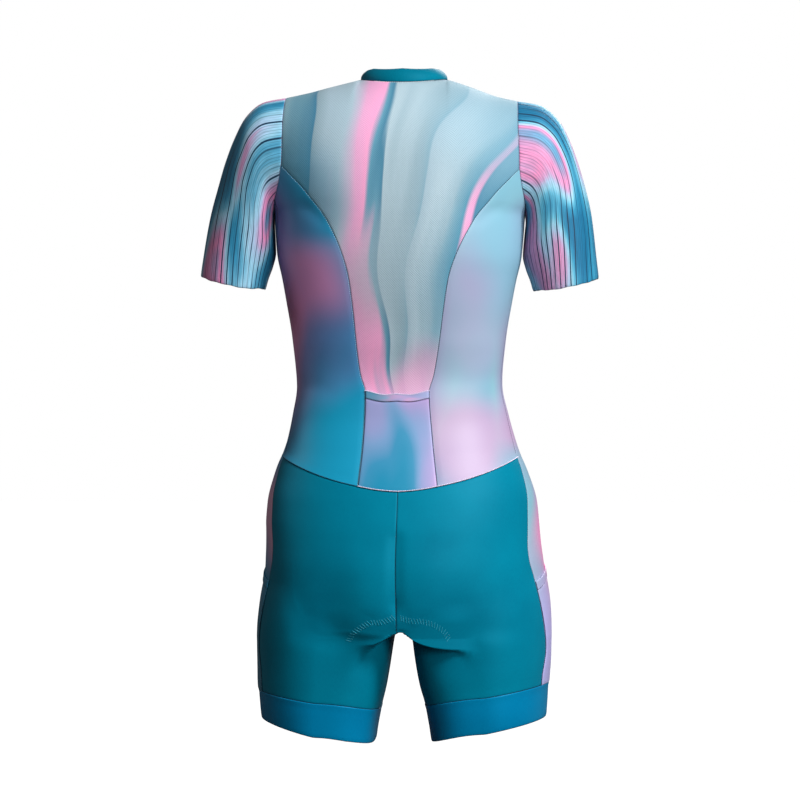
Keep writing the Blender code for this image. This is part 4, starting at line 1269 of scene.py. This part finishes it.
def pad_strokes(arc, cloth):
    """Slanting strokes of the seam that holds the pad inside, along an arc on the back of the shorts."""
    pitch, half, slant = PAD_STITCH
    xs, zs = arc["x"], arc["z"]
    run = np.concatenate([[0], np.cumsum(np.hypot(np.diff(xs), np.diff(zs)))])
    strokes = []
    for step in np.arange(0, run[-1], pitch):
        near, far = (np.array([np.interp(at_run, run, line) for line in (xs, zs)])
                     for at_run in (step - 1, step + 1))
        ahead = (far - near) / np.linalg.norm(far - near)
        beside = np.array([-ahead[1], ahead[0]]) * half
        stroke = []
        for share in np.linspace(-1, 1, PAD_POINTS):
            x, z = (near + far) / 2 + share * (beside + ahead * slant)
            hit, normal = cloth.ray_cast(Vector((x, BEHIND_ALL, z)), Vector((0, -1, 0)))[:2]
            if hit:
                stroke.append(hit + normal.normalized() * PAD_RISE)
        strokes.append((stroke, False))
    return strokes


def sew_pad(finishes):
    """Seam of the pad on both halves of the shorts' back."""
    faces, points = [], []
    for word, _ in SIDES:
        grid = FACES[f"leg_back_{word}"][0]
        rows, columns = grid.shape[:2]
        first = [len(points) + r * columns + c for r in range(rows - 1) for c in range(columns - 1)]
        points += grid.reshape(-1, 3).tolist()
        faces += [(k, k + 1, k + columns + 1, k + columns) for k in first]
    cloth = BVHTree.FromPolygons(points, faces)
    strokes = [stroke for arc in PAD_ARCS for stroke in pad_strokes(arc, cloth)]
    repeated("pad_thread", strokes, finishes["thread_pad"], *PAD_THREAD)


def sew(finishes):
    """Rows of stitches along the seams; the whitish rows and some dark and tonal ones paint the highlight and
    the shade at lapped edges.
    """
    for shade, stitch in THREADS.items():
        seams = [seam.split() for seam in SEAMS[shade].split(", ")]
        lines = [(seam_line(name, edge, *LIES[lie]), "sleeve" in name) for name, edge, lie in seams]
        repeated(f"seam_thread_{shade}", lines, finishes[f"thread_{shade}"], *stitch)
    sew_pad(finishes)


# Finishes --------------------------------------------------------------------------------------------------


def linear(code):
    """Linear colour of an sRGB hex value."""
    parts = [int(code[k:k + 2], 16) / 255 for k in (1, 3, 5)]
    return (*(part / 12.92 if part <= 0.04045 else ((part + 0.055) / 1.055) ** 2.4 for part in parts), 1.0)


def add(tree, kind, links=None, **settings):
    """Node of a tree with its settings and its inputs, each a value or another node's output."""
    made = tree.nodes.new(kind)
    for key, value in settings.items():
        setattr(made, key, value)
    for socket, value in (links or {}).items():
        if isinstance(value, bpy.types.NodeSocket):
            tree.links.new(value, made.inputs[socket])
        else:
            made.inputs[socket].default_value = value
    return made


def placed(tree):
    """Place on the suit in metres."""
    return add(tree, "ShaderNodeTexCoord").outputs["Object"]


def along_cloth(tree):
    """Place on a piece of cloth in metres, along its rows and down its columns."""
    return add(tree, "ShaderNodeUVMap", uv_map="Cloth").outputs[0]


def parted(tree, vector):
    """Parts X, Y and Z of a vector."""
    return add(tree, "ShaderNodeSeparateXYZ", {0: vector}).outputs


def combined(tree, x, y, z=0.0):
    """Vector of three parts."""
    return add(tree, "ShaderNodeCombineXYZ", {"X": x, "Y": y, "Z": z}).outputs[0]


def sums(tree, operation, *values):
    """Result of one sum."""
    return add(tree, "ShaderNodeMath", dict(enumerate(values)), operation=operation).outputs[0]


def vector_sums(tree, operation, *values):
    """Results of one sum with vectors."""
    return add(tree, "ShaderNodeVectorMath", dict(enumerate(values)), operation=operation).outputs


def mapped(tree, vector, scale, place=(0, 0, 0), turn=0.0):
    """Vector scaled, turned about Z and moved."""
    links = {"Vector": vector, "Scale": scale, "Location": place, "Rotation": (0, 0, math.radians(turn))}
    return add(tree, "ShaderNodeMapping", links).outputs[0]


def noise(tree, vector, scale, detail, roughness=0.5):
    """Noise texture: its outputs "Fac" and "Color"."""
    links = {"Vector": vector, "Scale": scale, "Detail": detail, "Roughness": roughness}
    return add(tree, "ShaderNodeTexNoise", links).outputs


def ranged(tree, value, given, wanted, kind="LINEAR"):
    """Value moved from one range to another and kept within it."""
    links = dict(enumerate((value, *given, *wanted)))
    return add(tree, "ShaderNodeMapRange", links, interpolation_type=kind).outputs[0]


def ramped(tree, share, stops):
    """Colour at a share of the way through a list of stops."""
    made = add(tree, "ShaderNodeValToRGB", {"Fac": share})
    elements = made.color_ramp.elements
    elements.remove(elements[1])
    elements[0].position, elements[0].color = stops[0][0], linear(stops[0][1])
    for place, code in stops[1:]:
        elements.new(place).color = linear(code)
    return made.outputs[0]


def mixed(tree, share, first, last, kind="MIX"):
    """Colour mixed from two."""
    links = {0: share, 6: first, 7: last}
    return add(tree, "ShaderNodeMix", links, data_type="RGBA", blend_type=kind).outputs[2]


def finish(name, **settings):
    """Empty material with its shader's constant values; returns the material, its tree and its shader."""
    made = bpy.data.materials.new(name)
    made.use_nodes = True
    shader = made.node_tree.nodes["Principled BSDF"]
    for key, value in settings.items():
        shader.inputs[NAMES[key]].default_value = value
    return made, made.node_tree, shader


def coloured(tree, shader, colour):
    """Lead a colour to a shader."""
    tree.links.new(colour, shader.inputs["Base Color"])


def relief(tree, shader, height, deep, strength):
    """Bump of a height field whose full range is a depth in millimetres."""
    bump = add(tree, "ShaderNodeBump", {"Height": height, "Distance": deep * MM, "Strength": strength})
    tree.links.new(bump.outputs[0], shader.inputs["Normal"])


def flowing(tree, stops, turn, scale, drift):
    """Airbrushed ribbons of colour that sway as they run down the body, by a number of radians a metre."""
    where = placed(tree)
    parts = parted(tree, where)
    wave = sums(tree, "SINE", sums(tree, "MULTIPLY_ADD", parts["Z"], turn, drift))
    swayed = sums(tree, "MULTIPLY_ADD", wave, FLOW["sway"], parts["X"])
    haze = noise(tree, where, FLOW["haze_scale"], detail=1.0)["Fac"]
    moved = sums(tree, "MULTIPLY_ADD", haze, FLOW["haze"], swayed)
    spot = combined(tree, moved, parts["Y"], parts["Z"])
    stretched = mapped(tree, spot, scale, place=(drift, 0, drift))
    return ramped(tree, noise(tree, stretched, 1.0, detail=1.6, roughness=0.42)["Fac"], stops)


def plumed(tree, stops):
    """Airbrushed plume: bent rays of colour that fan upwards from a focus below the waist."""
    where = placed(tree)
    parts = parted(tree, where)
    haze = noise(tree, where, PLUME["haze_scale"], detail=1.0)["Fac"]
    hazy = sums(tree, "MULTIPLY_ADD", haze, PLUME["haze"], parts["X"])
    beside = sums(tree, "SUBTRACT", hazy, PLUME["x"] + PLUME["haze"] / 2)
    above = sums(tree, "SUBTRACT", parts["Z"], PLUME["z"])
    angle = sums(tree, "ARCTAN2", beside, above)
    bend = sums(tree, "SINE", sums(tree, "MULTIPLY_ADD", above, PLUME["waves"], PLUME["phase"]))
    bent = sums(tree, "MULTIPLY_ADD", bend, PLUME["bend"], angle)
    drawn = mapped(tree, combined(tree, bent, parts["Y"], parts["Z"]), PLUME["scale"])
    brush = noise(tree, drawn, 1.0, detail=1.5)["Fac"]
    rough = sums(tree, "MULTIPLY_ADD", brush, PLUME["brush"], bent)
    middle, spread = PLUME["brush"] / 2, PLUME["spread"]
    return ramped(tree, ranged(tree, rough, (middle - spread, middle + spread), (0, 1)), stops)


def clouded(tree, base, clouds):
    """Soft clouds of colour over a base, each with its middle and reach in metres, colour and strength."""
    where = placed(tree)
    haze = noise(tree, where, CLOUD["haze_scale"], detail=1.0)["Color"]
    bent = vector_sums(tree, "MULTIPLY_ADD", haze, (CLOUD["haze"],) * 3, where)[0]
    for middle, reach, code, strength in clouds:
        middle = [n + CLOUD["haze"] / 2 for n in middle]
        away = vector_sums(tree, "SUBTRACT", bent, middle)[0]
        scaled = vector_sums(tree, "MULTIPLY", away, [1 / n for n in reach])[0]
        length = vector_sums(tree, "LENGTH", scaled)["Value"]
        near = ranged(tree, length, (CLOUD["core"], 1.0), (strength, 0.0), "SMOOTHSTEP")
        base = mixed(tree, near, base, linear(code))
    return base


def mesh_knit():
    """Sublimation-printed polyester warp knit: a field of tiny holes gives it a fine dotted, matt look.

    Real holes are about 0.7 mm apart; they are drawn 1.9 mm apart so that they show.
    """
    made, tree, shader = finish("printed polyester mesh knit", rough=0.62, sheen=0.08, sheen_rough=0.35,
                                specular=0.35)
    print_colour = clouded(tree, plumed(tree, CENTRE_STOPS), CENTRE_CLOUDS)
    lattice = mapped(tree, along_cloth(tree), (1 / MESH["pitch"],) * 3, turn=45)
    holes = add(tree, "ShaderNodeTexVoronoi", {"Vector": lattice, "Scale": 1.0, "Randomness": 0.0},
                voronoi_dimensions="2D").outputs["Distance"]
    solid = ranged(tree, holes, MESH["hole"], (0, 1), "SMOOTHSTEP")
    light = ranged(tree, solid, (0, 1), MESH["light"])
    coloured(tree, shader, mixed(tree, 1.0, print_colour, light, "MULTIPLY"))
    relief(tree, shader, solid, deep=0.25, strength=0.6)
    return made


def fine_knit(tree, shader, strength):
    """Relief of a fine jersey: real wales are 0.4 mm apart and are drawn 1.2 mm apart so that they show."""
    scaled = mapped(tree, along_cloth(tree), (1 / WALE[0], 1 / WALE[1], 1.0))
    grain = noise(tree, scaled, 1.0, detail=2.0)["Fac"]
    relief(tree, shader, grain, deep=0.12, strength=strength)
    return grain


def printed_knit(name, stops, clouds, manner, drift):
    """Printed elastane jersey: smooth, with the soft broad sheen of a stretched filament yarn."""
    rough, turn, scale = manner
    made, tree, shader = finish(f"printed elastane jersey, {name}", rough=rough, sheen=0.06, sheen_rough=0.3,
                                specular=0.45)
    coloured(tree, shader, clouded(tree, flowing(tree, stops, turn, scale, drift), clouds))
    fine_knit(tree, shader, 0.35)
    return made


def reverse_knit():
    """Unprinted back of the printed knits: off-white, with the print showing faintly through."""
    made, tree, shader = finish("unprinted reverse of the knit", rough=0.7, sheen=0.2, sheen_rough=0.5,
                                specular=0.3)
    coloured(tree, shader, ramped(tree, noise(tree, placed(tree), 6.0, detail=1.0)["Fac"], REVERSE_STOPS))
    fine_knit(tree, shader, 0.3)
    return made


def plain_knit(name, stops, **settings):
    """Piece-dyed elastane jersey: one even shade with a slight cloudiness and a soft sheen."""
    made, tree, shader = finish(name, **settings)
    grain = fine_knit(tree, shader, 0.3)
    haze = noise(tree, placed(tree), 9.0, detail=3.0)["Fac"]
    both = sums(tree, "MULTIPLY_ADD", grain, GRAIN_SHARE, haze)
    coloured(tree, shader, ramped(tree, both, stops))
    return made


def sleeve_knit(word, stops, slant):
    """Ribbed aero knit: clouds of colour in lengthwise streaks, fine ribs and dark grooves 9 mm apart."""
    made, tree, shader = finish(f"printed ribbed aero knit, {word}", rough=0.58, sheen=0.08, sheen_rough=0.35,
                                specular=0.35)
    along = parted(tree, along_cloth(tree))
    turn = sums(tree, "MULTIPLY", along["X"], 2 * math.pi / (GROOVES_ROUND * GROOVE * MM))
    round_x, round_y = sums(tree, "COSINE", turn), sums(tree, "SINE", turn)
    drift = ranged(tree, along["Y"], SLANT_FROM, (0.0, slant))
    aside = sums(tree, "MULTIPLY_ADD", drift, round_y, along["X"])
    cloth = combined(tree, aside, along["Y"])
    ring = mapped(tree, combined(tree, round_x, round_y, along["Y"]), BLOTCH["scale"], place=BLOTCH["place"])
    bent = noise(tree, ring, BLOTCH["bend_scale"], detail=0.0)["Color"]
    spot = vector_sums(tree, "MULTIPLY_ADD", bent, (BLOTCH["bend"],) * 3, ring)[0]
    blotch = noise(tree, spot, BLOTCH["fine_scale"], detail=0.0)["Fac"]
    streak = mapped(tree, cloth, (1 / STREAK["wide"], 1 / STREAK["long"], 1))
    streak = noise(tree, streak, 1.0, detail=2.0)["Fac"]
    stirred = ranged(tree, streak, MIDDLE, (-STREAK["stir"], STREAK["stir"]))
    colour = ramped(tree, sums(tree, "ADD", blotch, stirred), stops)
    for wide, long, *levels in HEATHER:
        flecks_at = mapped(tree, cloth, (1 / wide, 1 / long, 1), place=HEATHER_PLACE)
        flecks = ranged(tree, noise(tree, flecks_at, 1.0, detail=3.0)["Fac"], MIDDLE, levels)
        colour = mixed(tree, 1.0, colour, flecks, "MULTIPLY")
    for pitch, half, deep, place in GROOVES:
        beside = sums(tree, "PINGPONG", aside, pitch / 2)
        line = ranged(tree, beside, (half, 2 * half), (1, 0), "SMOOTHSTEP")
        fading = mapped(tree, cloth, (1 / pitch, GROOVE_FADE["scale"], 1), place=(place, place, 0))
        fading = noise(tree, fading, GROOVE_FADE["noise_scale"], detail=1.0)["Fac"]
        kept = ranged(tree, fading, GROOVE_FADE["range"], (GROOVE_FADE["least"], deep))
        colour = mixed(tree, sums(tree, "MULTIPLY", line, kept), colour, linear(GROOVE_COLOUR))
    coloured(tree, shader, colour)
    height = ranged(tree, sums(tree, "PINGPONG", aside, RIB * MM), (0, RIB * MM), (0, 1))
    relief(tree, shader, height, deep=0.25, strength=0.5)
    return made


def spun(name, code, rough):
    """Spun polyester thread: twisted plies break its light into fine slanting flecks."""
    made, tree, shader = finish(name, rough=rough, sheen=0.2, sheen_rough=0.4)
    plies = noise(tree, placed(tree), 900.0, detail=1.0)["Fac"]
    level = ranged(tree, plies, MIDDLE, PLY_LEVELS)
    coloured(tree, shader, mixed(tree, 1.0, linear(code), level, "MULTIPLY"))
    relief(tree, shader, plies, deep=0.1, strength=0.5)
    return made


def zip_metal():
    """Die-cast zinc, painted satin grey: faint orange peel under an even coat."""
    made, tree, shader = finish("painted zinc casting", rough=0.36, metal=0.75)
    peel = noise(tree, placed(tree), 1600.0, detail=2.0)["Fac"]
    coloured(tree, shader, ramped(tree, peel, METAL_STOPS))
    relief(tree, shader, peel, deep=0.03, strength=0.5)
    return made


def camera():
    """Camera that looks at the middle of the suit's back, turned a little to its right."""
    held = shown("camera", bpy.data.cameras.new("camera"))
    turn = math.radians(VIEW_TURN)
    away, aside = Vector((-math.sin(turn), math.cos(turn), 0)), Vector((math.cos(turn), math.sin(turn), 0))
    held.location = VIEW_AWAY * away + VIEW_ASIDE * aside + Vector((0, 0, VIEW_Z))
    held.rotation_euler = (math.pi / 2, 0, math.pi + turn)
    held.data.sensor_width = VIEW_SENSOR
    held.data.lens = VIEW_LENS
    bpy.context.scene.camera = held


def lights():
    """Soft round lamps that all face the suit."""
    for name, place, size, power in LIGHTS:
        lamp = bpy.data.lights.new(name, "AREA")
        lamp.shape, lamp.size, lamp.energy = "DISK", size, power
        held = shown(name, lamp)
        held.location = place
        held.rotation_euler = (Vector(LIT_POINT) - Vector(place)).to_track_quat("-Z", "Y").to_euler()


def seen_directly(tree):
    """1 for what the camera sees itself, 0 for what it sees by way of a surface."""
    return add(tree, "ShaderNodeLightPath").outputs["Is Camera Ray"]


def studio():
    """White surroundings, dim as a source of light, and a floor that looks as white."""
    world = bpy.data.worlds.new("white studio")
    bpy.context.scene.world = world
    world.use_nodes = True
    tree = world.node_tree
    shader = tree.nodes["Background"]
    tree.links.new(ranged(tree, seen_directly(tree), (0, 1), (WORLD_LIGHT, 1)), shader.inputs["Strength"])
    shader.inputs["Color"].default_value = linear("#FFFFFF")
    paper, tree, shader = finish("white paper floor", rough=0.9)
    shader.inputs["Base Color"].default_value = linear("#3C3C3C")
    shader.inputs["Emission Color"].default_value = linear("#FFFFFF")
    tree.links.new(seen_directly(tree), shader.inputs["Emission Strength"])
    mesh = bpy.data.meshes.new("floor")
    corners = [(x * FLOOR_HALF, y * FLOOR_HALF, FLOOR_Z) for x, y in ((-1, -1), (1, -1), (1, 1), (-1, 1))]
    mesh.from_pydata(corners, [], [(0, 1, 2, 3)])
    mesh.materials.append(paper)
    floor = shown("floor", mesh)
    bpy.context.scene.view_settings.view_transform = "Standard"


def main():
    """Dress the suit."""
    camera()
    lights()
    studio()
    stitch_tree()
    finishes = {
        "mesh": mesh_knit(),
        # The two side prints are partly print, partly painted shade on the left side and painted light on the
        # right side.
        "side_left": printed_knit("left", LEFT_STOPS, LEFT_CLOUDS, SIDE_PRINT, drift=4.1),
        "side_right": printed_knit("right", RIGHT_STOPS, RIGHT_CLOUDS, SIDE_PRINT, drift=8.3),
        "pocket": printed_knit("pocket", POCKET_STOPS, (), POCKET_PRINT, drift=2.9),
        "binding": printed_knit("folded binding", BINDING_STOPS, BINDING_CLOUDS, BINDING_PRINT, drift=2.9),
        "reverse": reverse_knit(),
        "shorts": plain_knit("dyed elastane jersey, shorts", SHORTS_STOPS, rough=0.5, specular=0.4,
                             tint=linear("#3FB4D0")),
        "band": plain_knit("dyed power elastic, band", BAND_STOPS, rough=0.38, specular=0.45,
                           tint=linear("#4FB4E0")),
        "collar": plain_knit("dyed double knit, collar", COLLAR_STOPS, rough=0.58, specular=0.35,
                             tint=linear("#3FB4D0")),
        "sleeve_left": sleeve_knit("left", SLEEVE_LEFT_STOPS, -0.025),
        "sleeve_right": sleeve_knit("right", SLEEVE_RIGHT_STOPS, -0.023),
        # Dark thread; on the left half of the waist seam its rows are painted shade.
        "thread_dark": spun("dark spun thread", "#062C44", 0.75),
        "thread_lilac": spun("lilac spun thread", "#A9A6CC", 0.6),
        "thread_pad": spun("blue spun thread", "#1F9DB5", 0.6),
        # Teal thread: stitches on the left princess seam, lighter in part as a painted highlight, and a
        # painted shadow line along the tops of the front legs.
        "thread_tonal": spun("teal spun thread", "#0A5873", 0.55),
        # Whitish stitches, partly thread and partly a painted highlight on lit lapped edges.
        "thread_rose_highlight": spun("rose spun thread", "#EADCF2", 0.6),
        "thread_pale": spun("pale spun thread", "#A9CBDD", 0.55),
        "zip_tape": plain_knit("woven zip tape", TAPE_STOPS, rough=0.65, sheen=0.2, sheen_rough=0.4),
        "zip_coil": spun("moulded nylon coil", "#14465F", 0.4),
        "metal": zip_metal(),
    }
    dress_backs(finishes)
    dress_fronts(finishes)
    dress_sides(finishes)
    dress_legs(finishes)
    dress_sleeves(finishes)
    dress_collar(finishes)
    dress_pockets(finishes)
    dress_zip(finishes)
    for node in ("zip_slider", "zip_pull"):
        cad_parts[node].material_slots[0].material = finishes["metal"]
    sew(finishes)


main()
